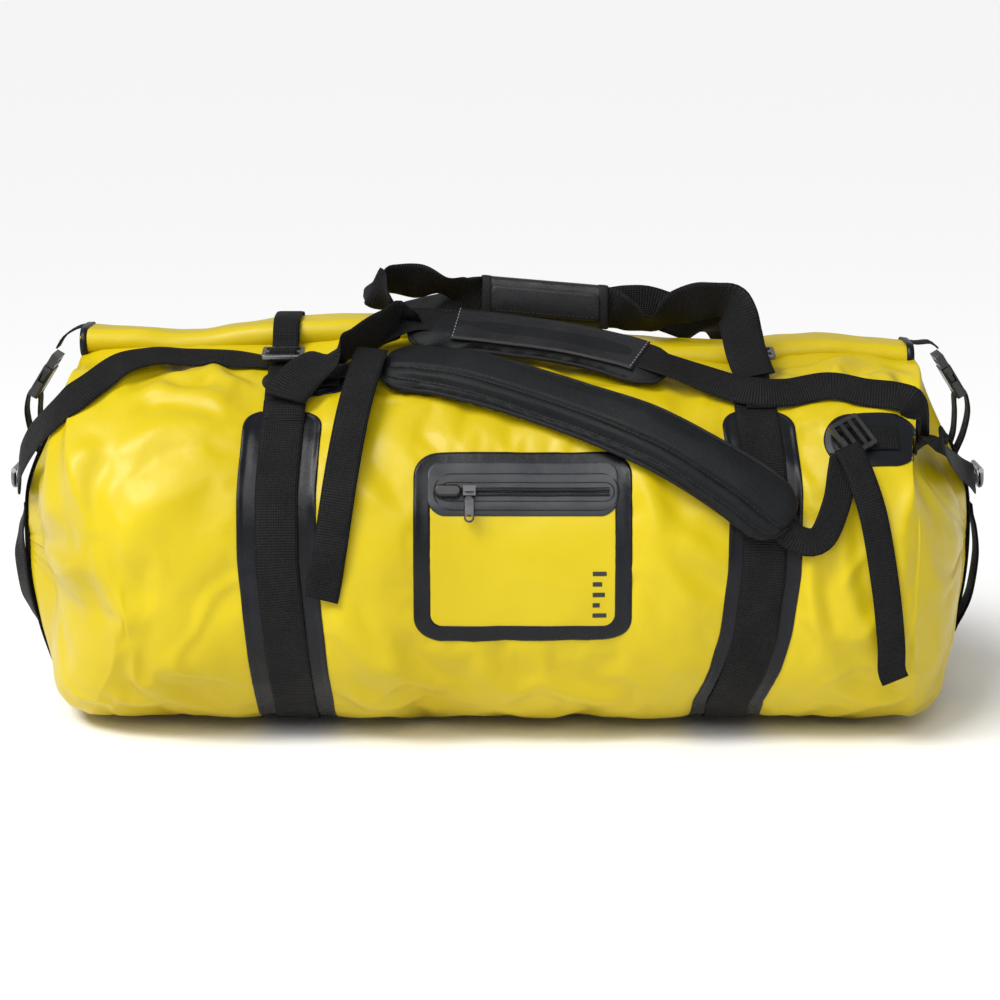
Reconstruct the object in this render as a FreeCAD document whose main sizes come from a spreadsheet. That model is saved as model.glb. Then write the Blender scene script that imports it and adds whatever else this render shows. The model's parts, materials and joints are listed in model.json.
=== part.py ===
"""Roll-top dry duffel bag: a parametric FreeCAD document, millimetres, +X along the bag, -Y front, +Z up.

The bag lies on the floor with its origin under its middle. Soft parts are plain solids of the right size
and place. Buckles, rings and the zip are in their real shapes. A place on the bag's skin is given by x and by
the girth: the distance along the cloth from the top centre line, positive to the front, negative to the back.
"""

import FreeCAD, Part
import math
import os

import Sketcher

Vector = FreeCAD.Vector
Rotation = FreeCAD.Rotation
Placement = FreeCAD.Placement

SIZES = [
    ("half_depth", 210, "half of the stuffed tube's depth"),
    ("tube_low", 4, "underside of the tube: the webbing bands are below it"),
    ("tube_high", 340, "top of the tube, where the neck is folded down"),
    ("low_round", 130, "radius of the tube's lower corners"),
    ("high_round", 165, "radius of the tube's upper corners"),
    ("straight_half", 300, "half length of the tube's straight part"),
    ("seam_half", 395, "half distance between the two end seams"),
    ("bag_half", 449, "half length of the bag without its straps"),
    ("wall", 2, "tarpaulin with its welded lining"),
    ("mouth_width", 60, "width of the mouth under the rolled neck"),
    ("mouth_half", 380, "half length of the mouth"),
    ("roll_width", 62, "width of the flattened roll"),
    ("roll_height", 20, "height of the flattened roll"),
    ("roll_half", 390, "half length of the roll"),
    ("roll_cavity", 8, "height of the core that holds the stiffeners"),
    ("stiffener_width", 22, "width of a stiffener strip"),
    ("stiffener_thick", 2.4, "thickness of a stiffener strip"),
    ("patch_thick", 1.4, "welded reinforcement patch"),
    ("webbing_thick", 2.2, "heavy webbing"),
    ("strap_thick", 1.8, "light webbing"),
    ("handle_width", 38, "width of the band and handle webbing"),
    ("band_patch_width", 78, "width of the patch under a band"),
    ("shoulder_width", 30, "width of the shoulder strap webbing"),
    ("strap_width", 25, "width of the adjuster webbing"),
    ("tail_width", 30, "width of the long loose tail"),
    ("pad_width", 68, "width of a backpack pad"),
    ("pad_thick", 13, "thickness of a backpack pad"),
    ("shoulder_pad_width", 64, "width of the shoulder pad"),
    ("shoulder_pad_thick", 11, "thickness of the shoulder pad"),
    ("sleeve_width", 58, "width of the sleeve on the shoulder pad"),
    ("wrap_height", 42, "height of the grip wrap"),
    ("wrap_depth", 17, "depth of the grip wrap"),
    ("wrap_length", 120, "length of the grip wrap"),
    ("pocket_width", 193, "width of the front pocket"),
    ("zip_length", 142, "length of the pocket's zip opening"),
    ("ring_wire", 5, "wire of a D ring"),
    ("slot_length", 31, "buckle slot for the light webbing"),
]
value = {name: size for name, size, note in SIZES}

SIDES = (("left", -1), ("right", 1))
FACES = (("front", 1), ("back", -1))
BAND_X = {"left": -190, "right": 236}
CLOSURE_X = {"left": -197, "right": 236}
PATCH_TOP = 150
WEBBING_TOP = {"left": 160, "right": 106}
SKIN_GAP = 0.3
END_STATIONS = [  # x, half depth, low, high, low radius, high radius
    (395, 200, 5, 338, 126, 160),
    (412, 188, 10, 296, 116, 130),
    (428, 170, 26, 262, 100, 105),
    (442, 136, 72, 232, 72, 76),
    (449, 94, 112, 208, 44, 46),
]

doc = FreeCAD.newDocument("dry_duffel")
sheet = doc.addObject("Spreadsheet::Sheet", "Sizes")
for row, (name, size, note) in enumerate(SIZES, 1):
    sheet.set(f"A{row}", note)
    sheet.set(f"B{row}", str(size))
    sheet.setAlias(f"B{row}", name)
doc.recompute()
parts = []


# ---------------------------------------------------------------- the skin of the bag
def section(x):
    """Half depth, low, high, low radius and high radius of the tube or an end panel at x."""
    middle = (value["straight_half"], value["half_depth"], value["tube_low"], value["tube_high"],
              value["low_round"], value["high_round"])
    stations = [middle] + END_STATIONS
    x = abs(x)
    if x <= stations[0][0]:
        return stations[0][1:]
    for before, after in zip(stations, stations[1:]):
        if x <= after[0]:
            share = (x - before[0]) / (after[0] - before[0])
            return tuple(a + (b - a) * share for a, b in zip(before[1:], after[1:]))
    return stations[-1][1:]


def outline(half, low, high, low_round, high_round, lift=0.0):
    """The girth as five stretches of the front half: (kind, length, data), from the top centre line down."""
    quarter = math.pi / 2
    return [
        ("line", half - high_round, (0, high + lift, -1, 0)),
        ("arc", high_round * quarter, (high_round - half, high - high_round, high_round + lift, quarter)),
        ("line", high - high_round - low - low_round, (-half - lift, high - high_round, 0, -1)),
        ("arc", low_round * quarter, (low_round - half, low + low_round, low_round + lift, math.pi)),
        ("line", half - low_round, (low_round - half, low - lift, 1, 0)),
    ]


MIDDLE = outline(*section(0))
HALF_GIRTH = sum(length for kind, length, data in MIDDLE)


def place(stretch, share):
    """The point (y, z) at a share of one stretch."""
    kind, length, data = stretch
    if kind == "line":
        y, z, dy, dz = data
        return y + dy * length * share, z + dz * length * share
    y, z, radius, start = data
    angle = start + share * math.pi / 2
    return y + radius * math.cos(angle), z + radius * math.sin(angle)


def skin(x, girth, lift=0.0):
    """The point at x and girth on the skin, raised by lift. Girths are those of the straight part."""
    side = -1 if girth < 0 else 1
    rest = min(abs(girth), HALF_GIRTH - 1e-6)
    for number, (kind, length, data) in enumerate(MIDDLE):
        if rest <= length:
            break
        rest -= length
    y, z = place(outline(*section(x), lift)[number], rest / length)
    return Vector(x, side * y, z)


def skin_normal(x, girth):
    """The outward normal of the skin, by small differences."""
    step = 0.5
    along = skin(x + step, girth) - skin(x - step, girth)
    around = skin(x, girth + step) - skin(x, girth - step)
    return around.cross(along).normalize() * (-1 if (around.cross(along)).dot(
        skin(x, girth, 1) - skin(x, girth)) < 0 else 1)


def skin_frame(x, girth, lift, turn=0.0):
    """A placement on the skin: local Z outward, local X turned by turn degrees from the bag's X."""
    normal = skin_normal(x, girth)
    along = Vector(1, 0, 0) - normal * normal.x
    rotation = Rotation(along, normal.cross(along), normal, "ZXY")
    return Placement(skin(x, girth) + normal * lift, rotation * Rotation(Vector(0, 0, 1), turn))


# ---------------------------------------------------------------- building blocks
def new_body(label):
    body = doc.addObject("PartDesign::Body", label)
    body.Label = label
    parts.append(body)
    return body


def new_sketch(body, placement=Placement(), plane="XY_Plane"):
    """A sketch attached to the body's own plane, moved by placement."""
    sketch = body.newObject("Sketcher::SketchObject", body.Label + "_sketch")
    plane = [f for f in body.Origin.OriginFeatures if f.Role == plane][0]
    sketch.AttachmentSupport = [(plane, "")]
    sketch.MapMode = "FlatFace"
    sketch.AttachmentOffset = placement
    return sketch


def bind_distance(sketch, kind, ends, size):
    """A distance constraint bound to a cell or an expression of cells."""
    number = sketch.addConstraint(Sketcher.Constraint(kind, *ends, 10.0))
    sketch.setExpression(f"Constraints[{number}]", size)


def rectangle(body, placement, width, height, plane="XY_Plane"):
    """A centred rectangle whose width and height are expressions of the sheet's cells."""
    sketch = new_sketch(body, placement, plane)
    corners = [Vector(-10, -5, 0), Vector(10, -5, 0), Vector(10, 5, 0), Vector(-10, 5, 0)]
    for number in range(4):
        sketch.addGeometry(Part.LineSegment(corners[number], corners[(number + 1) % 4]), False)
    for number in range(4):
        sketch.addConstraint(Sketcher.Constraint("Coincident", number, 2, (number + 1) % 4, 1))
        sketch.addConstraint(Sketcher.Constraint("Vertical" if number % 2 else "Horizontal", number))
    sketch.addConstraint(Sketcher.Constraint("Symmetric", 0, 1, 1, 2, -1, 1))
    bind_distance(sketch, "DistanceX", (0, 1, 0, 2), width)
    bind_distance(sketch, "DistanceY", (1, 1, 1, 2), height)
    return sketch


def stadium(body, placement, length, height):
    """A centred slot outline, its round ends tangent, sized by expressions."""
    sketch = new_sketch(body, placement)
    half, radius = 20.0, 8.0
    sketch.addGeometry(Part.LineSegment(Vector(-half, -radius, 0), Vector(half, -radius, 0)), False)
    sketch.addGeometry(Part.ArcOfCircle(
        Part.Circle(Vector(half, 0, 0), Vector(0, 0, 1), radius), -math.pi / 2, math.pi / 2), False)
    sketch.addGeometry(Part.LineSegment(Vector(half, radius, 0), Vector(-half, radius, 0)), False)
    sketch.addGeometry(Part.ArcOfCircle(
        Part.Circle(Vector(-half, 0, 0), Vector(0, 0, 1), radius), math.pi / 2, 3 * math.pi / 2), False)
    sketch.addConstraint(Sketcher.Constraint("Tangent", 0, 2, 1, 1))
    sketch.addConstraint(Sketcher.Constraint("Tangent", 1, 2, 2, 1))
    sketch.addConstraint(Sketcher.Constraint("Tangent", 2, 2, 3, 1))
    sketch.addConstraint(Sketcher.Constraint("Tangent", 3, 2, 0, 1))
    sketch.addConstraint(Sketcher.Constraint("Horizontal", 0))
    sketch.addConstraint(Sketcher.Constraint("Horizontal", 2))
    sketch.addConstraint(Sketcher.Constraint("Symmetric", 1, 3, 3, 3, -1, 1))
    bind_distance(sketch, "DistanceX", (0, 1, 0, 2), f"({length}) - ({height})")
    bind_distance(sketch, "DistanceY", (0, 2, 2, 1), height)
    return sketch


def drawn(body, edges, placement=Placement(), plane="XY_Plane"):
    """A sketch of ready edges that close on each other."""
    sketch = new_sketch(body, placement, plane)
    for edge in edges:
        sketch.addGeometry(edge, False)
    for number in range(len(edges)):
        sketch.addConstraint(Sketcher.Constraint("Block", number))
    return sketch


def add_pad(body, sketch, length, middle=False, reverse=False):
    pad = body.newObject("PartDesign::Pad", body.Label + "_pad")
    pad.Profile = sketch
    pad.setExpression("Length", length)
    if middle:
        pad.Midplane = True
    pad.Reversed = reverse
    return pad


def add_cut(body, sketch, middle=True):
    """A pocket through everything, both ways; the volume is compared at the end of the macro."""
    doc.recompute()
    before = body.Shape.Volume
    cut = body.newObject("PartDesign::Pocket", body.Label + "_cut")
    cut.Profile = sketch
    cut.Type = "ThroughAll"
    cut.Midplane = middle
    doc.recompute()
    if body.Shape.Volume >= before:
        raise RuntimeError(f"{body.Label}: a pocket cuts nothing")
    return cut


def add_fillet(body, radius, chosen=None):
    """Rounds every edge of the tip, or those that chosen(edge) picks."""
    doc.recompute()
    base = body.Tip
    names = [f"Edge{n}" for n, edge in enumerate(base.Shape.Edges, 1) if chosen is None or chosen(edge)]
    fillet = body.newObject("PartDesign::Fillet", body.Label + "_fillet")
    fillet.Base = (base, names)
    fillet.Radius = radius
    doc.recompute()
    return fillet


def ribbon(label, stations, width, thickness):
    """A flat strap: a loft of rectangles at stations, each a centre and the direction across the strap."""
    body = new_body(label)
    sketches = []
    for number, (centre, across) in enumerate(stations):
        before = stations[max(number - 1, 0)][0]
        after = stations[min(number + 1, len(stations) - 1)][0]
        along = (after - before).normalize()
        across = (across - along * across.dot(along)).normalize()
        if number and across.dot(last) < 0:
            across = across * -1
        last = across
        rotation = Rotation(across, along.cross(across), along, "ZXY")
        sketches.append(rectangle(body, Placement(centre, rotation), "Sizes." + width, "Sizes." + thickness))
    doc.recompute()
    loft = body.newObject("PartDesign::AdditiveLoft", label + "_loft")
    loft.Profile = sketches[0]
    loft.Sections = sketches[1:]
    loft.Ruled = True
    return body


def on_skin(points, finest=22.0):
    """Centre and normal pairs from (x, girth, lift) points, no further apart round the girth than finest."""
    dense = [points[0]]
    for before, after in zip(points, points[1:]):
        pieces = max(1, math.ceil(abs(after[1] - before[1]) / finest))
        for step in range(1, pieces + 1):
            dense.append(tuple(a + (b - a) * step / pieces for a, b in zip(before, after)))
    return [(skin(x, girth) + skin_normal(x, girth) * lift, skin_normal(x, girth))
            for x, girth, lift in dense]


def facing(pairs):
    """Ribbon stations from centre and normal pairs: the strap's flat side faces along each normal."""
    stations = []
    for number, (centre, normal) in enumerate(pairs):
        along = pairs[min(number + 1, len(pairs) - 1)][0] - pairs[max(number - 1, 0)][0]
        stations.append((centre, normal.cross(along)))
    return stations


def laid(points):
    """Ribbon stations for a strap that lies on the skin."""
    return facing(on_skin(points))


def girth_edges(start, end, lift):
    """Lines and arcs of the straight part's girth from start to end, raised by lift, as (y, z) geometry."""
    edges, passed = [], 0.0
    for kind, length, data in outline(*section(0), lift):
        low, high = max(start, passed), min(end, passed + length)
        if high - low > 1e-6:
            shares = (low - passed) / length, (high - passed) / length
            ends = [place((kind, length, data), s) for s in shares]
            if kind == "line":
                edges.append(("line", ends))
            else:
                edges.append(("arc", [ends[0], place((kind, length, data), sum(shares) / 2), ends[1]]))
        passed += length
    return edges


def geometry(kind, points):
    points = [Vector(y, z, 0) for y, z in points]
    return Part.LineSegment(*points) if kind == "line" else Part.Arc(*points)


def girth_strip(label, x_low, length, start, end, inner, outer):
    """A curved plate on the skin between two lifts, padded along X, from a front girth down to end.

    A negative end is at the back: the plate goes on under the bag and up to it."""
    def whole(lift):
        edges = girth_edges(start, end if end > 0 else HALF_GIRTH, lift)
        if end < 0:
            up_back = girth_edges(-end, HALF_GIRTH, lift)
            edges += [(kind, [(-y, z) for y, z in reversed(points)]) for kind, points in reversed(up_back)]
        return edges

    low, high = whole(inner), whole(outer)
    edges = [geometry(*edge) for edge in low]
    edges.append(geometry("line", [low[-1][1][-1], high[-1][1][-1]]))
    edges += [geometry(kind, list(reversed(points))) for kind, points in reversed(high)]
    edges.append(geometry("line", [high[0][1][0], low[0][1][0]]))
    body = new_body(label)
    sketch = drawn(body, edges, Placement(Vector(0, 0, x_low), Rotation()), "YZ_Plane")
    add_pad(body, sketch, length)
    return body


def ring_section(body, x, inset=0.0):
    """A closed rounded outline of the tube at x, inset by a wall."""
    half, low, high, low_round, high_round = section(x)
    edges = []
    front = [(kind, [place((kind, length, data), s) for s in ((0, 1) if kind == "line" else (0, 0.5, 1))])
             for kind, length, data in outline(half, low, high, low_round, high_round, -inset)]
    back = [(kind, [(-y, z) for y, z in reversed(points)]) for kind, points in reversed(front)]
    top = ("line", [back[-1][1][0], front[0][1][-1]])
    bottom = ("line", [front[-1][1][0], back[0][1][-1]])
    for kind, points in [top] + front[1:-1] + [bottom] + back[1:-1]:
        edges.append(geometry(kind, points))
    return drawn(body, edges, Placement(Vector(0, 0, x), Rotation()), "YZ_Plane")


def lofted_shell(label, outer_x, inner_x):
    """A shell: a ruled loft through the skin's sections, less the same loft inset by the wall."""
    body = new_body(label)
    for kind, places, inset in (("Additive", outer_x, 0.0), ("Subtractive", inner_x, value["wall"])):
        sketches = [ring_section(body, x, inset) for x in places]
        doc.recompute()
        loft = body.newObject(f"PartDesign::{kind}Loft", f"{label}_{kind}")
        loft.Profile = sketches[0]
        loft.Sections = sketches[1:]
        loft.Ruled = True
        doc.recompute()
    return body


# ---------------------------------------------------------------- tube, ends and rolled neck
def make_shell():
    seam, straight = value["seam_half"], value["straight_half"]
    tube = lofted_shell("body_tube", [-seam, -straight, straight, seam], [-seam, -straight, straight, seam])
    mouth = rectangle(tube, Placement(Vector(0, 0, value["tube_high"] - 60), Rotation()),
                      "Sizes.mouth_half * 2", "Sizes.mouth_width")
    doc.recompute()
    cut = tube.newObject("PartDesign::Pocket", "mouth")
    cut.Profile = mouth
    cut.Reversed = True
    cut.Length = 100
    for side, sign in SIDES:
        places = [sign * station[0] for station in END_STATIONS]
        inner = places[:-1] + [sign * (value["bag_half"] - value["wall"])]
        lofted_shell(f"end_panel_{side}", places, inner)


def make_roll():
    """The neck, rolled flat over two stiffener strips; its coils are one hollow solid here."""
    centre = value["tube_high"] + 1 + value["roll_height"] / 2
    turn = Rotation(Vector(1, 0, 0), Vector(0, 1, 0), Vector(0, 0, 1), "ZXY")
    along = Rotation(Vector(0, 1, 0), Vector(0, 0, 1), Vector(1, 0, 0), "ZXY")
    facing = Placement(Vector(0, 0, centre), along * turn)
    roll = new_body("roll_closure")
    add_pad(roll, stadium(roll, facing, "Sizes.roll_width", "Sizes.roll_height"), "Sizes.roll_half * 2", True)
    add_cut(roll, stadium(roll, facing, "Sizes.roll_width - Sizes.roll_height + Sizes.roll_cavity",
                          "Sizes.roll_cavity"))
    for name, side in (("front", 1), ("back", -1)):
        strip = new_body(f"stiffener_{name}")
        offset = Placement(Vector(0, 0, centre + side * 1.6), facing.Rotation)
        add_pad(strip, rectangle(strip, offset, "Sizes.stiffener_width", "Sizes.stiffener_thick"),
                "Sizes.roll_half * 2 - 20", True)


# ---------------------------------------------------------------- bands, closure straps
def make_bands():
    """Welded patch and webbing that run under the bag, from the front handle's root to the back one's."""
    patch_low = SKIN_GAP
    patch_high = patch_low + value["patch_thick"]
    webbing_low = value["tube_low"] - value["webbing_thick"]
    for side, sign in SIDES:
        x = BAND_X[side]
        girth_strip(f"band_patch_{side}", x - value["band_patch_width"] / 2, "Sizes.band_patch_width",
                    PATCH_TOP, -PATCH_TOP, patch_low, patch_high)
        girth_strip(f"band_webbing_{side}", x - value["handle_width"] / 2, "Sizes.handle_width",
                    WEBBING_TOP[side], -WEBBING_TOP["left"], webbing_low, value["tube_low"])


def make_closure_straps():
    """Straps that hold the roll down, from the front patch over the roll to the back patch."""
    roll_top = value["tube_high"] + 1 + value["roll_height"]
    half_roll = value["roll_width"] / 2
    for side, sign in SIDES:
        x = CLOSURE_X[side]
        over = [(-half_roll - 7, value["tube_high"] + 9), (-half_roll - 3, roll_top - 3.5),
                (-21, roll_top + 2.4), (21, roll_top + 2.4), (half_roll + 3, roll_top - 3.5),
                (half_roll + 7, value["tube_high"] + 5)]
        foot_lift = 2.4 if side == "left" else 5.8
        stations = laid([(x, PATCH_TOP - 4, foot_lift), (x, 118, 5.8), (x, 52, 5.8)])
        stations += [(Vector(x, y, z), Vector(1, 0, 0)) for y, z in over]
        stations += laid([(x, -56, 3), (x, -PATCH_TOP + 4, 2.4)])
        ribbon(f"closure_strap_{side}", stations, "strap_width", "strap_thick")
        tri_glide(f"tri_glide_{side}", skin_frame(x, 72, 9.2, 0))


def tri_glide(label, placement):
    """Two-slot slider: a flat frame with a middle bar."""
    body = new_body(label)
    add_pad(body, rectangle(body, Placement(), "Sizes.slot_length + 8", "28"), "4", True)
    add_fillet(body, 3, lambda edge: abs(edge.tangentAt(edge.FirstParameter).z) > 0.9)
    for offset in (-7, 7):
        slot = rectangle(body, Placement(Vector(0, offset, 0), Rotation()), "Sizes.slot_length", "7")
        add_cut(body, slot)
    add_fillet(body, 0.8, lambda edge: abs(edge.tangentAt(edge.FirstParameter).z) < 0.1
               and abs(edge.CenterOfMass.y) > 12)
    body.Placement = placement


# ---------------------------------------------------------------- front pocket and its zip
POCKET_X = -74
POCKET_TOP = 197
POCKET_BOTTOM = 371
ZIP_PATCH_HEIGHT = 64
ZIP_BELOW_TOP = 38
FRAME_BORDER = 15


def make_pocket():
    inner, outer = SKIN_GAP, SKIN_GAP + value["patch_thick"]
    frame = girth_strip("pocket_frame", POCKET_X, "Sizes.pocket_width", POCKET_TOP, POCKET_BOTTOM,
                        inner, outer)
    window_low = skin(0, POCKET_BOTTOM - FRAME_BORDER).z
    window_high = skin(0, POCKET_TOP + ZIP_PATCH_HEIGHT).z
    middle = POCKET_X + value["pocket_width"] / 2
    upright = Rotation(Vector(1, 0, 0), 90)
    window = Placement(Vector(middle, 0, (window_low + window_high) / 2), upright)
    add_cut(frame, rectangle(frame, window, f"Sizes.pocket_width - {2 * FRAME_BORDER}",
                             f"{window_high - window_low}"))
    zip_z = skin(0, POCKET_TOP + ZIP_BELOW_TOP).z
    slit = Placement(Vector(middle + 4, 0, zip_z), upright)
    add_cut(frame, rectangle(frame, slit, "Sizes.zip_length", "7"))
    girth_strip("pocket_panel", POCKET_X + FRAME_BORDER + 0.5, f"Sizes.pocket_width - {2 * FRAME_BORDER + 1}",
                POCKET_TOP + ZIP_PATCH_HEIGHT + 1, POCKET_BOTTOM - FRAME_BORDER - 1, inner, outer)
    make_zip(middle + 4)


def make_zip(middle):
    """Tape, two coils, a moulded garage at the closed end, the slider on the coils and its hanging pull."""
    girth = POCKET_TOP + ZIP_BELOW_TOP
    start = middle - value["zip_length"] / 2
    tape = new_body("zip_tape")
    base = skin_frame(middle, girth, 1.0)
    add_pad(tape, rectangle(tape, Placement(), "Sizes.zip_length - 1", "5.6"), "1", True)
    doc.recompute()
    coil = Placement(Vector(14, 0, 0.5), Rotation())
    add_pad(tape, rectangle(tape, coil, "Sizes.zip_length - 30", "3.6"), "1.2")
    tape.Placement = base
    garage = new_body("zip_garage")
    add_pad(garage, stadium(garage, Placement(), "24", "11"), "5")
    add_fillet(garage, 2.0, lambda edge: edge.CenterOfMass.z > 4.9)
    garage.Placement = skin_frame(start + 1, girth, SKIN_GAP + value["patch_thick"] + 0.2)
    slider = new_body("zip_slider")
    add_pad(slider, rectangle(slider, Placement(Vector(0, 0, 3.4), Rotation()), "11", "9"), "2.2")
    doc.recompute()
    add_pad(slider, rectangle(slider, Placement(Vector(0, 0, 5.4), Rotation()), "8", "3"), "3.0")
    eye = Placement(Vector(0, 0, 7.0), Rotation(Vector(1, 0, 0), 90))
    add_cut(slider, rectangle(slider, eye, "4.6", "1.6"))
    slider.Placement = skin_frame(start + 20, girth, 0)
    pull = new_body("zip_pull")
    hang = Placement(Vector(0, -11, 0), Rotation())
    add_pad(pull, stadium(pull, Placement(hang.Base, Rotation(Vector(0, 0, 1), 90)), "24", "9"), "2.2", True)
    add_cut(pull, stadium(pull, Placement(Vector(0, -18.5, 0), Rotation()), "5.4", "5.2"))
    add_fillet(pull, 0.7, lambda edge: abs(edge.tangentAt(edge.FirstParameter).z) < 0.1
               and edge.BoundBox.XLength + edge.BoundBox.YLength > 8)
    pull.Placement = skin_frame(start + 20, girth + 6.4, 9.6)


# ---------------------------------------------------------------- backpack straps
OVAL_LOW = {"left": (-171, 102), "right": (334, 186)}


def make_backpack_straps():
    """One padded strap in front and its twin at the back, from a left anchor to a ladder lock."""
    for face, sign in FACES:
        for side, (x, girth) in OVAL_LOW.items():
            oval_patch(f"oval_patch_{face}_{side}", x, sign * girth)
            tab_x = x + (7 if side == "right" else 12)
            tab_girth = sign * (girth + (0 if side == "right" else 7))
            tab = laid([(tab_x - 10, tab_girth, 2.9), (tab_x + 12, tab_girth, 2.9)])
            ribbon(f"anchor_tab_{face}_{side}", tab, "strap_width", "strap_thick")
        upper = [(-141, sign * 103, 3.4), (-109, sign * 106, 7)]
        ribbon(f"backpack_webbing_upper_{face}", laid(upper), "strap_width", "strap_thick")
        pad = [(-104, sign * 106, 10), (-20, sign * 130, 10), (60, sign * 168, 10.5), (140, sign * 210, 11.5),
               (205, sign * 244, 12.2), (262, sign * 274, 12.2)]
        ribbon(f"backpack_pad_{face}", laid(pad), "pad_width", "pad_thick")
        lower = [(271, sign * 282, 11), (286, sign * 273, 11), (296, sign * 248, 10), (301, sign * 221, 9)]
        ribbon(f"backpack_webbing_lower_{face}", laid(lower), "strap_width", "strap_thick")
        ladder_lock(f"ladder_lock_{face}", skin_frame(314, sign * 187, 10, -58 * sign))
        tail = [(312, sign * 218, 15), (328, sign * 262, 12), (341, sign * 320, 9), (348, sign * 372, 8),
                (352, sign * 400, 8)]
        ribbon(f"adjuster_tail_{face}", laid(tail), "strap_width", "strap_thick")


def oval_patch(label, x, girth):
    """A welded oval: bent round the girth where the tube is straight, flat on the taper beside an end."""
    reach, half_length, thick = 28.5, 44, 0.9
    if abs(x) + half_length < value["straight_half"]:
        facing = 1 if girth > 0 else -1
        body = girth_strip(label, facing * x - half_length, f"{2 * half_length}", abs(girth) - reach,
                           abs(girth) + reach, SKIN_GAP, SKIN_GAP + thick)
        doc.recompute()
        trim = stadium(body, skin_frame(facing * x, abs(girth), 0), f"{2 * half_length}", f"{2 * reach}")
        corners = [Vector(-60, -40, 0), Vector(60, -40, 0), Vector(60, 40, 0), Vector(-60, 40, 0)]
        for number in range(4):
            trim.addGeometry(Part.LineSegment(corners[number], corners[(number + 1) % 4]), False)
            trim.addConstraint(Sketcher.Constraint("Block", 4 + number))
        add_cut(body, trim)
        body.Placement = Placement(Vector(0, 0, 0), Rotation(Vector(0, 0, 1), 90 - 90 * facing))
        return
    body = new_body(label)
    add_pad(body, stadium(body, Placement(), f"{2 * half_length}", f"{2 * reach}"), f"{thick}")
    body.Placement = skin_frame(x, girth, SKIN_GAP + 0.1)


def ladder_lock(label, placement):
    """Three-bar adjuster with a raised lip: webbing is fixed round one end bar and doubled over the next."""
    body = new_body(label)
    add_pad(body, rectangle(body, Placement(), "Sizes.strap_width + 10", "30"), "4", True)
    add_fillet(body, 2.5, lambda edge: abs(edge.tangentAt(edge.FirstParameter).z) > 0.9)
    for offset, height in ((-8.5, "5.5"), (0.8, "5"), (9.2, "4.5")):
        slot = rectangle(body, Placement(Vector(0, offset, 0), Rotation()), "Sizes.strap_width + 2", height)
        add_cut(body, slot)
    body.Placement = placement


# ---------------------------------------------------------------- shoulder strap
def make_shoulder_strap():
    """One webbing from ring to ring over the front edge of the top, through a sleeve on a pad."""
    pad_line = [(-80, -52, 369), (0, -60, 363), (60, -72, 358), (110, -88, 352), (158, -107, 343)]
    leans = [34, 31, 30, 30, 30]

    def raised(height):
        pairs = []
        for (x, y, z), lean in zip(pad_line, leans):
            angle = math.radians(lean)
            up = Vector(0, -math.sin(angle), math.cos(angle))
            pairs.append((Vector(x, y, z) + up * height, up))
        return pairs

    def free(points):
        return [(Vector(*centre), Vector(*normal)) for centre, normal in points]

    ribbon("shoulder_pad", facing(raised(0)), "shoulder_pad_width", "shoulder_pad_thick")
    sleeve_line = raised(value["shoulder_pad_thick"] / 2 + 4.4)[:-1]
    start, after = sleeve_line[0], sleeve_line[1]
    sleeve_line[0] = (start[0] + (after[0] - start[0]) * 0.55, start[1])
    stop, beyond = sleeve_line[-1], raised(value["shoulder_pad_thick"] / 2 + 4.4)[-1]
    sleeve_line.append((stop[0] + (beyond[0] - stop[0]) * 0.4, stop[1]))
    ribbon("shoulder_sleeve", facing(sleeve_line), "sleeve_width", "patch_thick")
    over = raised(value["shoulder_pad_thick"] / 2 + 1.9)
    left = free([((-455.8, -11, 216), (-1, 0, 0.05)), ((-454, -38, 230), (-1, 0, 0.2)),
                 ((-446, -62, 250), (-0.9, -0.3, 0.4)), ((-430, -92, 280), (-0.6, -0.4, 0.6)),
                 ((-415, -113, 307), (-0.3, -0.4, 0.8))])
    left += on_skin([(-389, 118, 11), (-345, 103, 6), (-300, 88, 4), (-250, 78, 2.7),
                     (-197, 76, 2.7), (-160, 74, 3.2)])
    right = on_skin([(205, 126, 11), (232, 133, 11), (262, 129, 9), (300, 119, 7),
                     (345, 128, 7), (371, 141, 8), (388, 158, 10)])
    right += free([((411, -147, 284), (0.5, -0.6, 0.6)), ((428, -119, 264), (0.7, -0.4, 0.5)),
                   ((446, -80, 248), (0.9, -0.2, 0.4)), ((455, -44, 232), (1, 0, 0.2)),
                   ((455.8, -11, 216), (1, 0, 0.05))])
    ribbon("shoulder_webbing", facing(left + over + right), "shoulder_width", "strap_thick")


# ---------------------------------------------------------------- carrying handles
GRIP_X = 45
GRIP_Z = 384.5


def smoothed(points, pieces=3):
    """Ribbon stations on a Catmull-Rom curve through (centre, across) points, the width turning evenly."""
    centres = [Vector(*centre) for centre, across in points]
    widths = [Vector(*across).normalize() for centre, across in points]
    for number in range(1, len(widths)):
        if widths[number].dot(widths[number - 1]) < 0:
            widths[number] = widths[number] * -1
    stations = []
    last = len(points) - 1
    for number in range(last):
        p0, p1, p2, p3 = (centres[max(0, min(last, number + step))] for step in (-1, 0, 1, 2))
        for piece in range(pieces):
            t = piece / pieces
            curve = p1 * 2 + (p2 - p0) * t + (p0 * 2 - p1 * 5 + p2 * 4 - p3) * t ** 2
            curve += (p1 * 3 - p0 - p2 * 3 + p3) * t ** 3
            stations.append((curve * 0.5, widths[number] * (1 - t) + widths[number + 1] * t))
    stations.append((centres[-1], widths[-1]))
    return stations


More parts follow.
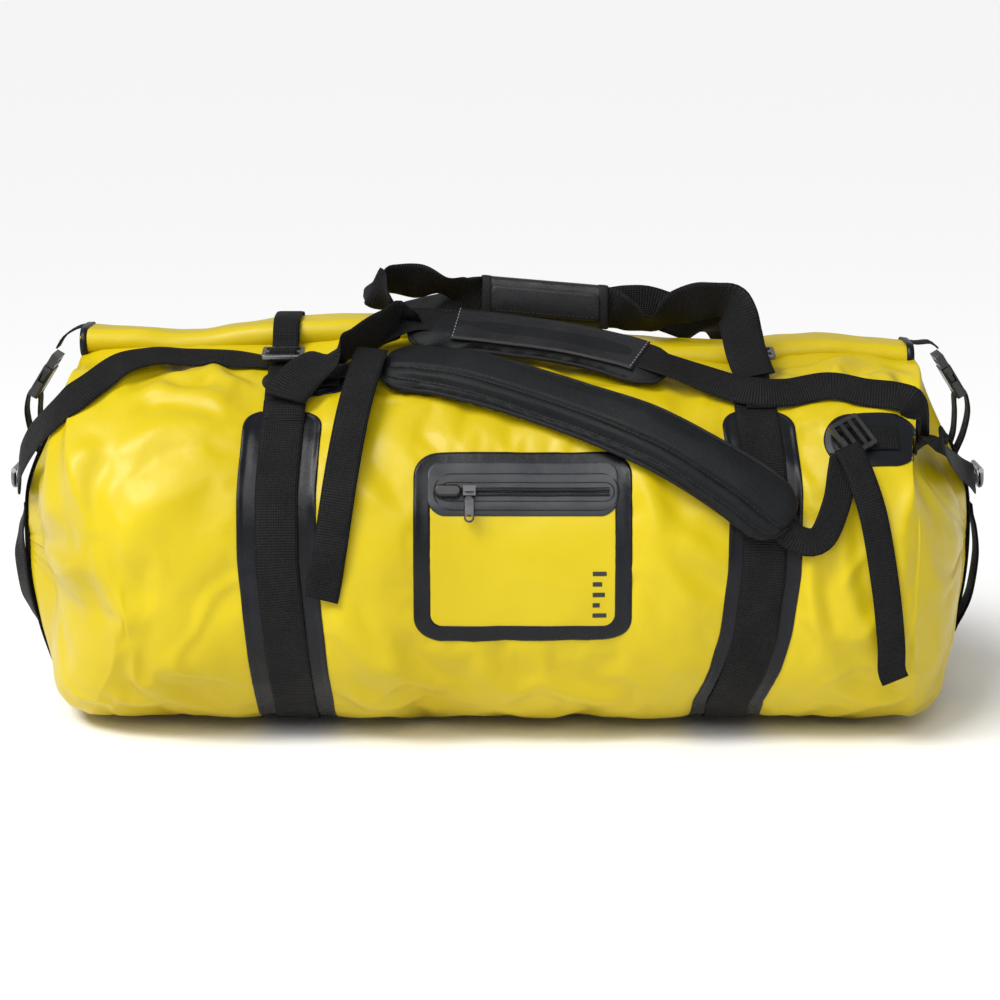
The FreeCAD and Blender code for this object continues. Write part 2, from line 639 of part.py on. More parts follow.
def make_handles():
    """Two webbing handles held together by a wrap; they leave the bands at the top of their patches."""
    grip = [(GRIP_X + step, GRIP_Z) for step in (-59, -41, 41, 59)]
    front = [
        ((-188, -141, 318), (1, 0, 0)), ((-170, -126, 338), (0.95, 0.2, 0.2)),
        ((-146, -102, 362), (0.8, 0.5, 0.2)), ((-122, -68, 384), (0.5, 0.8, 0)),
        ((-114, -38, 402), (0.1, 0.95, 0)), ((-98, -20, 416), (0, 0.9, 0.4)),
        ((-62, -9, 406), (0, 0.5, 0.85)), ((-30, -3, 389), (0, 0.05, 1)),
    ]
    front += [((x, -2.3, z), (0, 0, 1)) for x, z in grip]
    front += [
        ((122, -3, 383), (0, -0.2, 1)), ((156, -14, 382), (0, -0.5, 0.85)),
        ((182, -24, 395), (-0.3, -0.8, 0.5)), ((203, -32, 409), (0, -1, 0.1)),
        ((222, -44, 402), (0.6, -0.8, 0)), ((230, -66, 380), (0.9, -0.3, 0)),
        ((232, -88, 357), (1, 0, 0)), ((233, -99, 345), (1, 0, 0)),
    ]
    back = [
        ((-188, 141, 318), (1, 0, 0)), ((-165, 118, 338), (1, -0.2, 0)), ((-128, 84, 366), (0.8, -0.5, 0.2)),
        ((-88, 42, 385), (0.5, -0.3, 0.8)), ((-50, 12, 390), (0, 0, 1)),
    ]
    back += [((x, 2.3, z), (0, 0, 1)) for x, z in grip]
    back += [
        ((140, 10, 387), (0, 0.1, 1)), ((180, 30, 387), (0.2, 0.4, 0.9)), ((210, 62, 375), (0.7, 0.3, 0.5)),
        ((228, 104, 350), (1, 0.1, 0)), ((236, 141, 318), (1, 0, 0)),
    ]
    for name, points in (("front", front), ("back", back)):
        ribbon(f"handle_webbing_{name}", smoothed(points), "handle_width", "webbing_thick")
    make_wrap()


def make_wrap():
    """The grip: a sheath round both webbings, and the hook-and-loop leaf that closes it in front."""
    facing = Placement(Vector(0, 0, 0), Rotation(Vector(0, 0, 1), Vector(0, -1, 0), Vector(1, 0, 0), "ZXY"))
    wrap = new_body("grip_wrap")
    add_pad(wrap, stadium(wrap, facing, "Sizes.wrap_height", "Sizes.wrap_depth"), "Sizes.wrap_length", True)
    add_cut(wrap, rectangle(wrap, facing, "Sizes.handle_width + 1", "8"))
    wrap.Placement = Placement(Vector(GRIP_X, 0, GRIP_Z), Rotation())
    flap = new_body("grip_flap")
    leaf = Placement(Vector(0, -value["wrap_depth"] / 2 - 1.3, 0), Rotation(Vector(1, 0, 0), 90))
    add_pad(flap, rectangle(flap, leaf, "Sizes.wrap_length - 18", "Sizes.wrap_height - 16"), "1.6", True)
    flap.Placement = wrap.Placement


# ---------------------------------------------------------------- end fittings
END_LINE = [(449, 118), (449, 204), (442, 232), (428, 262), (412, 292)]
END_LOW = [(428, 27), (442, 72)]
RING_HEIGHT = 226


def end_point(x, z, lift, sign):
    """A point on the end panel's middle line, raised outward by lift."""
    lean = max(-1.0, min(1.0, (z - 160) / 130.0))
    outward = Vector(sign * math.cos(lean), 0, math.sin(lean))
    return Vector(sign * x, 0, z) + outward * lift


def make_ends():
    across = Vector(0, 1, 0)
    for side, sign in SIDES:
        line = [end_point(x, z, 4.6, sign) for x, z in END_LOW + END_LINE[:-1]]
        ribbon(f"end_webbing_{side}", [(p, across) for p in line], "handle_width", "webbing_thick")
        bow = [(449, 66), (458, 84), (464, 110), (464, 140), (458, 166), (449.0, 184)]
        raised = [Vector(sign * (x + 7.2), 0, z) for x, z in bow]
        ribbon(f"end_handle_{side}", [(p, across) for p in raised], "shoulder_width", "webbing_thick")
        make_d_ring(f"d_ring_{side}", sign)
        make_buckle(side, sign)
        tab = [Vector(sign * 393, 0, 371), Vector(sign * 404, 0, 366), Vector(sign * 413, 0, 352),
               Vector(sign * 417, 0, 344)]
        ribbon(f"roll_tab_{side}", [(p, across) for p in tab], "strap_width", "strap_thick")


def make_d_ring(label, sign):
    """A wire ring: a straight bar across the end webbing and a half round that hangs from it."""
    body = new_body(label)
    half, wire = 18.0, value["ring_wire"] / 2
    bend = Part.ArcOfCircle(Part.Circle(Vector(0, 0, 0), Vector(0, 0, 1), half), math.pi, 2 * math.pi)
    spine = drawn(body, [bend])
    profile = drawn(body, [Part.Circle(Vector(-half, 0, 0), Vector(0, 0, 1), wire)],
                    Placement(Vector(0, 0, 0), Rotation()), "XZ_Plane")
    doc.recompute()
    pipe = body.newObject("PartDesign::AdditivePipe", label + "_pipe")
    pipe.Profile = profile
    pipe.Spine = spine
    doc.recompute()
    bar = new_sketch(body, Placement(Vector(0, 0, -half - wire), Rotation()), "YZ_Plane")
    bar.addGeometry(Part.Circle(Vector(0, 0, 0), Vector(0, 0, 1), wire), False)
    bind_distance(bar, "Diameter", (0,), "Sizes.ring_wire")
    add_pad(body, bar, f"{2 * (half + wire)}")
    hang = Rotation(Vector(0, -sign, 0), Vector(-sign * 0.12, 0, 1), Vector(0, 0, 0), "XYZ")
    body.Placement = Placement(Vector(sign * 460.5, 0, RING_HEIGHT), hang)


def make_buckle(side, sign):
    """Side-release buckle: a socket on the end panel and the plug on the roll's tab, pushed in from above."""
    lean = Rotation(Vector(0, 1, 0), sign * -32)
    base = Placement(Vector(sign * 431.5, 0, 312), lean * Rotation(Vector(0, 0, 1), 90))
    socket = new_body(f"buckle_socket_{side}")
    upright = Placement(Vector(0, 0, -18), Rotation())
    add_pad(socket, rectangle(socket, upright, "34", "10"), "32")
    add_fillet(socket, 3, lambda edge: abs(edge.tangentAt(edge.FirstParameter).z) > 0.9)
    hollow = rectangle(socket, Placement(Vector(0, 0, 14), Rotation()), "28", "6")
    doc.recompute()
    cut = socket.newObject("PartDesign::Pocket", "mouth")
    cut.Profile = hollow
    cut.Length = 22
    window = rectangle(socket, Placement(Vector(0, 0, 4), Rotation(Vector(1, 0, 0), 90) * Rotation(
        Vector(0, 1, 0), 90)), "6.2", "12")
    add_cut(socket, window)
    slot = rectangle(socket, Placement(Vector(0, 0, -13), Rotation(Vector(1, 0, 0), 90)),
                     "Sizes.strap_width + 2", "4")
    add_cut(socket, slot)
    socket.Placement = base
    plug = new_body(f"buckle_plug_{side}")
    add_pad(plug, rectangle(plug, Placement(Vector(0, 0, 15), Rotation()), "33", "8"), "12")
    doc.recompute()
    add_pad(plug, rectangle(plug, Placement(Vector(0, 0, -4), Rotation()), "25", "4"), "20")
    gap = rectangle(plug, Placement(Vector(0, 0, 3), Rotation(Vector(1, 0, 0), 90)), "13", "22")
    add_cut(plug, gap)
    across = Placement(Vector(0, 0, 21.5), Rotation(Vector(1, 0, 0), 90))
    bar = rectangle(plug, across, "Sizes.strap_width + 2", "4")
    add_cut(plug, bar)
    plug.Placement = base


def make_loose_tail():
    tail = [(-124, 122, 24), (-128, 165, 20), (-136, 220, 12), (-143, 275, 8), (-152, 322, 8)]
    ribbon("loose_tail", laid(tail), "tail_width", "strap_thick")


def check_and_write():
    """Stops on any failed object, and on any sub-part that is null or not valid, before writing."""
    doc.recompute()
    failed = [o.Label for o in doc.Objects if "Invalid" in o.State or "Error" in o.State]
    failed += [b.Label for b in parts if b.Shape.isNull() or not b.Shape.isValid() or b.Shape.Volume <= 0]
    if failed:
        raise RuntimeError(f"failed: {sorted(set(failed))}")
    os.makedirs("parts", exist_ok=True)
    for body in parts:
        body.Shape.exportStep(f"parts/{body.Label}.step")
    print(len(parts), "sub-parts written")


make_shell()
make_roll()
make_bands()
make_closure_straps()
make_pocket()
make_backpack_straps()
make_shoulder_strap()
make_handles()
make_ends()
make_loose_tail()
check_and_write()
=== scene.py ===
"""A stuffed roll-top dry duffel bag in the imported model's frame: +X along the bag, -Y front, +Z up.

A place on the bag is given as in the part's source: x, and the girth, which is the distance along the
cloth from the top centre line, positive to the front and negative to the back. Lengths are in metres,
and in millimetres in the tables of route points.
"""

import json
import math

import bpy
import numpy as np
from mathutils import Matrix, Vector, noise
from mathutils.bvhtree import BVHTree


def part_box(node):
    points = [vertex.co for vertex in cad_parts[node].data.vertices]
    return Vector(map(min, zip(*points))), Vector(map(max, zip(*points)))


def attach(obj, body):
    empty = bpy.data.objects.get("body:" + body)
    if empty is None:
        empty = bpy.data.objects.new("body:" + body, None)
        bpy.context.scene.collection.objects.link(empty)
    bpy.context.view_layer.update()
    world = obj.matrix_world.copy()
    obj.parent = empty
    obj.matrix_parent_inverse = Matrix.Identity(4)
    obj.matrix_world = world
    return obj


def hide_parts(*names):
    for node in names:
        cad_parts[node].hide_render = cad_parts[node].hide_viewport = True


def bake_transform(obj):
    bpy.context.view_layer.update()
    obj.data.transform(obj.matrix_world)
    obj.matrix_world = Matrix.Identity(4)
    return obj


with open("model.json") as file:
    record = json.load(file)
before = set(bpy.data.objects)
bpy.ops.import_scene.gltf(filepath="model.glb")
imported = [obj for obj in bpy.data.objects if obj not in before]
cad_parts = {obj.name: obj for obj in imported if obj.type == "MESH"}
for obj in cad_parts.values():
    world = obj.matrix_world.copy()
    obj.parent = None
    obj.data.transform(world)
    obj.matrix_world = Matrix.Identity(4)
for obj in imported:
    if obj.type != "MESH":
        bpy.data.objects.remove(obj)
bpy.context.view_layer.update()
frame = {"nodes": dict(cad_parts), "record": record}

MM = 0.001
SIDES = (("left", -1), ("right", 1))
FACES = (("front", 1), ("back", -1))

# ------------------------------------------------------------------ the plain skin, as in the part's source
MIDDLE_SECTION = (0.210, 0.004, 0.340, 0.130, 0.165)
SECTIONS = [  # x, half depth, low, high, low radius, high radius
    (0.300,) + MIDDLE_SECTION,
    (0.395, 0.200, 0.005, 0.338, 0.126, 0.160),
    (0.412, 0.188, 0.010, 0.296, 0.116, 0.130),
    (0.428, 0.170, 0.026, 0.262, 0.100, 0.105),
    (0.442, 0.136, 0.072, 0.232, 0.072, 0.076),
    (0.449, 0.094, 0.112, 0.208, 0.044, 0.046),
]
SEAM_X = 0.395
END_X = 0.449
WEBBING_UNDER = 0.004
BAND_X = {"left": -0.190, "right": 0.236}
BAND_TOP = 0.150
GRIP_TILT = 0.085
BAND_WIDTH = 0.038
HANDLE_WIDTH = 0.038
SHOULDER_WIDTH = 0.030
STRAP_WIDTH = 0.025
TAIL_WIDTH = 0.030
WEBBING_THICK = 0.0022
STRAP_THICK = 0.0018
SEWN_LIFT = 0.0016  # how far webbing sewn to the bag stands off it
RIM_SINK = 0.0012  # how far a plate's rim goes into the cloth
PIPING_RADIUS = 0.0022
FLOOR_REACH = 70
ROLL_HEIGHT = 0.3525  # of the rolled neck's middle, before it rides up and sags
RIDGE = [  # x, rise in millimetres: how the rolled neck rides up and sags along the bag
    (-400, -3), (-333, -4), (-290, -10), (-237, 0), (-190, 5), (-93, 8), (-40, 3), (0, -3), (60, -8),
    (100, -12), (135, -15), (175, -18), (240, -19), (266, -15), (290, -10), (330, -12), (360, -16),
    (400, -19),
]
PINCH = {  # height, how far the end is drawn in beside its webbing, in millimetres
    "left": [(20, -1), (50, 3), (96, 20), (128, 29), (150, 24), (169, 17), (196, 17), (220, 14), (260, 9),
             (300, 2)],
    "right": [(20, 5), (60, 8), (100, 9), (180, 9), (217, 14), (240, 20), (262, 24), (290, 18), (315, 9),
              (338, 3)],
}
SWAY = {  # girth, how far a band leans off its straight line, in millimetres
    "left": [(150, -1), (235, -5), (300, -4.5), (365, 1), (430, 5), (452, 6)],
    "right": [(150, -4), (200, 0), (235, 2), (310, 0), (365, -6), (405, -14), (430, -21), (452, -26)],
}


def section(x):
    """Half depth, low, high, low radius and high radius at x."""
    x = abs(x)
    if x <= SECTIONS[0][0]:
        return SECTIONS[0][1:]
    for before, after in zip(SECTIONS, SECTIONS[1:]):
        if x <= after[0]:
            share = (x - before[0]) / (after[0] - before[0])
            return tuple(a + (b - a) * share for a, b in zip(before[1:], after[1:]))
    return SECTIONS[-1][1:]


def outline(half, low, high, low_round, high_round):
    """The front half of a section from the top centre down: five (length, function of the share)."""
    quarter = math.pi / 2

    def top(s):
        return -(half - high_round) * s, high

    def shoulder(s):
        angle = quarter * (1 + s)
        return (high_round - half + high_round * math.cos(angle),
                high - high_round + high_round * math.sin(angle))

    def side(s):
        return -half, high - high_round + (low + low_round - high + high_round) * s

    def hip(s):
        angle = math.pi + quarter * s
        return low_round - half + low_round * math.cos(angle), low + low_round + low_round * math.sin(angle)

    def bottom(s):
        return (low_round - half) * (1 - s), low

    lengths = (half - high_round, high_round * quarter, high - high_round - low - low_round,
               low_round * quarter, half - low_round)
    return list(zip(lengths, (top, shoulder, side, hip, bottom)))


MIDDLE_LENGTHS = [length for length, _ in outline(*MIDDLE_SECTION)]
HALF_GIRTH = sum(MIDDLE_LENGTHS)


def skin(x, girth):
    """The point at x and girth on the plain skin."""
    side = -1 if girth < 0 else 1
    rest = min(abs(girth), HALF_GIRTH - 1e-7)
    for number, length in enumerate(MIDDLE_LENGTHS):
        if rest <= length:
            break
        rest -= length
    y, z = outline(*section(x))[number][1](rest / length)
    return Vector((x, side * y, z))


def skin_normal(x, girth):
    """The outward normal of the plain skin."""
    step = 0.0008
    along = skin(x + step, girth) - skin(x - step, girth)
    around = skin(x, girth + step) - skin(x, girth - step)
    return along.cross(around).normalized() * -1


# ------------------------------------------------------------------ mesh helpers
def new_mesh(name, verts, faces, uvs=None, smooth=True):
    """A linked mesh object; uvs has one pair for each vertex."""
    mesh = bpy.data.meshes.new(name)
    mesh.from_pydata([tuple(v) for v in verts], [], faces)
    mesh.update()
    if uvs is not None:
        layer = mesh.uv_layers.new(name="Lay")
        corners = np.zeros(len(mesh.loops), np.int32)
        mesh.loops.foreach_get("vertex_index", corners)
        layer.data.foreach_set("uv", np.asarray(uvs, np.float32)[corners].ravel())
    if smooth:
        mesh.polygons.foreach_set("use_smooth", [True] * len(mesh.polygons))
    obj = bpy.data.objects.new(name, mesh)
    bpy.context.scene.collection.objects.link(obj)
    return obj


def finish_piece(obj, material, body="bag", replaces=(), blend=None):
    """Material, slot, the body it rides on (a piece given blend only has its transform baked), and the CAD
    nodes it stands for.
    """
    obj.data.materials.clear()
    obj.data.materials.append(material)
    if blend:
        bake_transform(obj)
    else:
        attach(obj, body)
    if replaces:
        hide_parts(*replaces)
    return obj


def grid_faces(rows, count, closed=True, flip=False, looped=False):
    """Quads between neighbouring rows of count points.

    closed joins the ends of each row, looped joins the last row to the first."""
    faces = []
    for row in range(rows if looped else rows - 1):
        here, after = row * count, (row + 1) % rows * count
        for col in range(count if closed else count - 1):
            nxt = (col + 1) % count
            quad = (here + col, here + nxt, after + nxt, after + col)
            faces.append((quad[0],) + quad[:0:-1] if flip else quad)
    return faces


def tube_faces(rows, count):
    """The quads of a closed tube and its two end faces."""
    last = (rows - 1) * count
    return grid_faces(rows, count) + [tuple(reversed(range(count))), tuple(range(last, last + count))]


def circle(sides, radius=1.0):
    """Points round a circle."""
    return [(math.cos(2 * math.pi * k / sides) * radius, math.sin(2 * math.pi * k / sides) * radius)
            for k in range(sides)]


def corner_cut(depth, radius):
    """How far a rounded corner cuts in, at a depth from the edge."""
    return radius - math.sqrt(max(0.0, radius ** 2 - (radius - depth) ** 2)) if depth < radius else 0.0


def catmull(values, number, t):
    """Catmull-Rom between values[number] and the next, as numpy rows."""
    last = len(values) - 1
    p0, p1, p2, p3 = (values[max(0, min(last, number + k))] for k in (-1, 0, 1, 2))
    return 0.5 * (2 * p1 + (p2 - p0) * t + (2 * p0 - 5 * p1 + 4 * p2 - p3) * t ** 2
                  + (3 * p1 - p0 - 3 * p2 + p3) * t ** 3)


def smooth_route(pairs, step=0.004):
    """(centre, facing) pairs on a smooth curve, about step apart; facing is a vector carried along."""
    centres = [np.array(c, float) for c, f in pairs]
    facings = [np.array(Vector(f).normalized(), float) for c, f in pairs]
    for number in range(1, len(facings)):
        if facings[number] @ facings[number - 1] < -0.2:
            facings[number] = -facings[number]
    route = []
    for number in range(len(pairs) - 1):
        span = np.linalg.norm(centres[number + 1] - centres[number])
        pieces = max(2, int(round(span / step)))
        for piece in range(pieces):
            t = piece / pieces
            ease = t * t * (3 - 2 * t)
            facing = facings[number] * (1 - ease) + facings[number + 1] * ease
            route.append((Vector(catmull(centres, number, t)), Vector(facing).normalized()))
    route.append((Vector(centres[-1]), Vector(facings[-1])))
    return route


def frames(route, facing_is="normal"):
    """(centre, across, normal, run) along a route whose facing is its normal or its across direction."""
    out, run = [], 0.0
    for number, (centre, facing) in enumerate(route):
        along = route[min(number + 1, len(route) - 1)][0] - route[max(number - 1, 0)][0]
        along.normalize()
        if number:
            run += (centre - route[number - 1][0]).length
        if facing_is == "normal":
            across = facing.cross(along).normalized()
        else:
            across = (facing - along * facing.dot(along)).normalized()
        out.append((centre, across, along.cross(across).normalized(), run))
    return out


def flat_profile(width, thick, columns=9):
    """A webbing section, (across, height) round the outline, with slightly thinner rolled edges."""
    across = [(-0.5 + i / (columns - 1)) * width for i in range(columns)]

    def height(v):
        edge = max(0.0, (abs(v) / (width / 2) - 0.9) / 0.1)
        return thick / 2 * math.sqrt(max(0.0, 1 - 0.75 * edge ** 2))

    upper = [(v, height(v)) for v in across]
    lower = [(v, -height(v)) for v in reversed(across)]
    return upper + lower


def swept(stations, profile, place=lambda c, a, n, v, h: c + a * v + n * h):
    """Verts, faces and uvs of a profile swept along (centre, across, normal, run) stations.

    place(centre, across, normal, v, h) gives a vertex; uv is the run and the distance across."""
    verts = [place(c, a, n, v, h) for c, a, n, run in stations for v, h in profile]
    uvs = [(run, v) for c, a, n, run in stations for v, h in profile]
    return verts, tube_faces(len(stations), len(profile)), uvs


# ------------------------------------------------------------------ the stuffed bag
FOLDS = [  # from x, girth, to x, girth, half width, height: pulled creases and soft ridges, in millimetres
    (-232, 150, -330, 128, 12, 3.6), (-234, 170, -345, 205, 16, 3.2), (-300, 52, -350, 118, 12, 4.4),
    (-330, 36, -305, 82, 9, 3.8), (-262, 60, -235, 118, 10, 2.4), (-250, 230, -345, 300, 20, 3.0),
    (-360, 190, -395, 260, 14, 3.4), (-300, 112, -255, 104, 9, -3.4), (-385, 300, -320, 352, 18, 3.0),
    (-240, 400, -330, 430, 16, 3.0), (-350, 400, -285, 445, 14, 2.6), (-380, 440, -300, 452, 10, 3.0),
    (-148, 176, -96, 250, 15, 3.0), (-146, 330, -80, 410, 16, 3.4), (-140, 430, -70, 452, 12, 3.0),
    (-100, 380, -40, 430, 11, 2.8), (-20, 388, 34, 430, 14, 3.2), (30, 400, 110, 446, 12, 2.8),
    (120, 210, 190, 300, 13, 3.6), (128, 252, 188, 350, 14, 3.0), (118, 330, 180, 410, 15, 3.0),
    (40, 96, 130, 130, 11, 2.6), (150, 60, 205, 110, 12, 3.0), (280, 262, 288, 372, 9, 3.8),
    (300, 250, 322, 360, 10, 3.4), (276, 300, 312, 420, 12, 2.8), (286, 110, 352, 96, 12, 3.2),
    (352, 90, 388, 150, 12, 4.2), (330, 60, 300, 118, 10, 2.6), (386, 220, 360, 330, 14, 3.4),
    (350, 380, 392, 420, 16, 3.0), (300, 430, 380, 448, 12, 3.0), (262, 62, 330, 44, 11, 3.0),
    (-90, 60, -20, 76, 12, 2.6), (0, 44, 70, 60, 9, 2.2),
    (-232, -160, -340, -130, 13, 3.2), (-150, -180, -60, -260, 18, 3.2), (40, -150, 180, -240, 15, 3.2),
    (-240, -300, -350, -380, 20, 3.2), (-60, -330, 90, -400, 18, 3.0), (290, -250, 380, -360, 16, 3.4),
    (-300, -60, -200, -110, 12, 2.6), (100, -60, 195, -100, 12, 2.8),
    (404, 100, 430, 200, 10, 3.0), (-404, 120, -432, 220, 11, 3.4), (410, 250, 436, 330, 12, 2.6),
    (-410, 270, -436, 350, 12, 2.8), (404, -140, 430, -230, 12, 3.0), (-404, -150, -430, -260, 12, 3.0),
]
DENTS = [  # x, girth, half length, half girth, height: broad hollows and swellings, in millimetres
    (-420, 262, 26, 26, -6.0), (-402, 322, 30, 24, -5.0), (-290, 338, 46, 40, -4.0), (-320, 250, 60, 60, 4.0),
    (-110, 300, 40, 90, 3.0), (20, 300, 90, 90, 2.0), (160, 330, 40, 80, 4.0), (350, 300, 50, 70, 5.0),
    (330, 420, 50, 30, -4.0), (-330, 430, 50, 24, -3.0), (420, 210, 22, 40, -5.0), (-60, 60, 70, 40, -3.0),
    (120, 70, 60, 30, 3.0), (320, 50, 50, 34, 4.0), (-300, 40, 50, 30, 4.0), (0, -300, 160, 120, 4.0),
    (-320, -280, 60, 90, 4.0), (340, -280, 50, 90, 4.0), (120, -420, 60, 30, -4.0), (-60, -120, 80, 40, -3.0),
]


def relief(x, girth):
    """How far the stuffed cloth stands out of the plain skin."""
    mx, mg = x / MM, girth / MM
    out = 0.0
    for x0, g0, x1, g1, width, height in FOLDS:
        dx, dg = x1 - x0, g1 - g0
        length2 = dx * dx + dg * dg
        t = ((mx - x0) * dx + (mg - g0) * dg) / length2
        if -0.3 < t < 1.3:
            side = ((mx - x0) * dg - (mg - g0) * dx) / math.sqrt(length2)
            bow = side + width * 0.8 * math.sin(math.pi * t)
            end = math.exp(-((max(0.0, abs(t - 0.5) - 0.25)) / 0.22) ** 2)
            crest = math.exp(-(bow / width) ** 2)
            hollow = math.exp(-((bow - 1.7 * width) / width) ** 2)
            out += 1.5 * height * end * (crest - 0.7 * hollow)
    for x0, g0, half_x, half_g, height in DENTS:
        out += height * math.exp(-((mx - x0) / half_x) ** 2 - ((mg - g0) / half_g) ** 2)
    out += 3.0 * noise.noise(Vector((mx / 85, mg / 70, 3.1)))
    out += 1.0 * noise.noise(Vector((mx / 30, mg / 30, 9.7)))
    where = max(0.0, noise.noise(Vector((mx / 120, mg / 120, 5.5))) + 0.15)
    line = noise.noise(Vector((mx / 95 + 0.4 * mg / 95, mg / 60, 6.3)))
    out += 5.0 * where * max(0.0, 1 - abs(line) / 0.16) ** 1.5
    for side in BAND_X:
        out -= 3.0 * math.exp(-((mx - band_x(side, girth) / MM) / 44) ** 2)
    calm = min(1.0, max(0.0, (HALF_GIRTH - abs(girth) - 0.055) / 0.05))
    return out * MM * (0.15 + 0.85 * calm)


def ridge(x):
    """Rise of the neck at x, smoothed."""
    xs, rises = zip(*RIDGE)
    near = [np.interp((x + step) / MM, xs, rises) for step in (-0.024, -0.012, 0, 0.012, 0.024)]
    return float(sum(near)) / len(near) * MM


def band_x(side, girth):
    """Where a band's middle runs at a girth: it leans in front and is straight behind."""
    girths, leans = zip(*SWAY[side])
    lean = float(np.interp(girth / MM, girths, leans)) if girth > 0 else 0.0
    if girth < 0:
        under = min(1.0, max(0.0, (HALF_GIRTH + girth) / 0.12))
        lean = leans[-1] * (1 - under)
    return BAND_X[side] + lean * MM


def neck(x, girth):
    """How far the cloth rises along the top into the rolled neck, and sags with it."""
    ends = min(1.0, max(0.0, (0.402 - abs(x)) / 0.03))
    return (0.014 * math.exp(-(girth / 0.047) ** 4) + ridge(x) * math.exp(-(girth / 0.075) ** 2)) * ends


def end_pull(point):
    """How far an end panel is drawn in beside its webbing, towards the middle of the bag."""
    start = 0.29 if point.x < 0 else 0.345
    reach = min(1.0, max(0.0, (abs(point.x) - start) / (0.42 - start)))
    reach = reach * reach * (3 - 2 * reach)
    low = min(1.0, max(0.0, (0.27 - point.z) / 0.20))
    amount = 0.008 + 0.036 * low if point.x < 0 else 0.022
    heights, pinches = zip(*PINCH["left" if point.x < 0 else "right"])
    beside = min(1.0, max(0.0, (abs(point.y) - 0.019) / 0.04))
    pinch = float(np.interp(point.z / MM, heights, pinches)) * MM * beside * beside * (3 - 2 * beside)
    far = min(1.0, max(0.0, (abs(point.x) - 0.34) / 0.07 if point.x < 0 else (point.x - 0.375) / 0.037))
    return -math.copysign(amount * reach * min(1.3, (point.y / 0.185) ** 2) + pinch * far, point.x)


def make_body():
    """Tube and both end panels as one mesh; girth runs round, x along, and each end closes on its middle.

    The stuffed cloth is swelled by a cloth simulation, held along its bands, neck, floor and end fittings."""
    cols, rows = ((176, 212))
    xs = list(np.linspace(-SEAM_X, SEAM_X, cols + 1))
    end = [0.3975, 0.401, 0.406, 0.412, 0.417, 0.422, 0.428, 0.433, 0.438, 0.442, 0.446, END_X]
    xs = [-x for x in reversed(end)] + xs + end
    girths = list(np.linspace(-HALF_GIRTH, HALF_GIRTH, rows, endpoint=False))
    verts, plain, held = [], [], []
    for x in xs:
        for girth in girths:
            point = skin(x, girth)
            normal = skin_normal(x, girth)
            lift = relief(x, girth) - 0.0030
            point = point + normal * lift + Vector((0, 0, neck(x, girth)))
            plain.append(point.copy())
            point.x += end_pull(point)
            point.z = max(point.z, WEBBING_UNDER - 0.0015)
            bands = any(abs(x - band_x(side, girth)) < 0.033 for side in BAND_X)
            pocket = -0.07 < x < 0.115 and 0.2 < girth < 0.368
            fitting = abs(x) > 0.40 and abs(point.y) < 0.022
            top_or_floor = abs(girth) < 0.05 or abs(girth) > HALF_GIRTH - 0.10
            if bands or pocket or fitting or top_or_floor or abs(x) > 0.4425:
                held.append(len(verts))
            verts.append(point)
    count = len(girths)
    faces = grid_faces(len(xs), count)
    for row, sign in ((0, -1), (len(xs) - 1, 1)):
        ring = [row * count + col for col in range(count)]
        middle = sum((plain[i] for i in ring), Vector()) / count
        for share in (0.82, 0.62, 0.4, 0.2, 0.02):
            start = len(verts)
            for i in range(count):
                point = middle + (plain[row * count + i] - middle) * share
                point.x += sign * 0.003 * (1 - share ** 2)
                point.x += end_pull(point)
                held.append(len(verts))
                verts.append(point)
            inner = list(range(start, start + count))
            for col in range(count):
                quad = (ring[col], ring[(col + 1) % count], inner[(col + 1) % count], inner[col])
                faces.append(quad if sign > 0 else tuple(reversed(quad)))
            ring = inner
        faces.append(tuple(ring) if sign > 0 else tuple(reversed(ring)))
    body = new_mesh("bag_cloth", verts, faces)
    swell(body, held, pressure=1.2, grow=-0.016, cap=0.011, bending=1.5)
    finer(body)
    return body


def swell(obj, held, pressure, grow, cap, bending=0.5, steps=20):
    """Blow the piece up as cloth, its held points fixed and no point moving further than cap."""
    scene = bpy.context.scene
    before = np.array([v.co for v in obj.data.vertices])
    cloth_step = obj.modifiers.new("swell", "CLOTH")
    settings = cloth_step.settings
    settings.quality = 4
    settings.mass = 0.3
    settings.tension_stiffness = 18
    settings.compression_stiffness = 18
    settings.shear_stiffness = 8
    settings.bending_stiffness = bending
    settings.use_pressure = True
    settings.uniform_pressure_force = pressure
    settings.shrink_min = grow
    settings.effector_weights.gravity = 0
    if held:
        group = obj.vertex_groups.new(name="held")
        group.add(list(held), 1.0, "REPLACE")
        settings.vertex_group_mass = "held"
    for number in range(1, steps + 1):
        scene.frame_set(number)
    mesh = obj.evaluated_get(bpy.context.evaluated_depsgraph_get()).to_mesh()
    after = np.array([v.co for v in mesh.vertices])
    obj.modifiers.remove(cloth_step)
    scene.frame_set(1)
    move = after - before
    far = np.linalg.norm(move, axis=1)
    move *= np.minimum(1.0, cap / np.maximum(far, 1e-9))[:, None]
    obj.data.vertices.foreach_set("co", (before + move).ravel())
    obj.data.update()
    if held:
        obj.vertex_groups.clear()


def finer(obj):
    """One level of subdivision, applied."""
    step = obj.modifiers.new("finer", "SUBSURF")
    step.levels = step.render_levels = 1
    mesh = bpy.data.meshes.new_from_object(obj.evaluated_get(bpy.context.evaluated_depsgraph_get()))
    old = obj.data
    obj.modifiers.clear()
    obj.data = mesh
    bpy.data.meshes.remove(old)
    mesh.name = obj.name
    mesh.polygons.foreach_set("use_smooth", [True] * len(mesh.polygons))


def surface_tree(obj):
    """A search tree over the object's faces."""
    mesh = obj.data
    return BVHTree.FromPolygons([v.co for v in mesh.vertices], [tuple(p.vertices) for p in mesh.polygons])


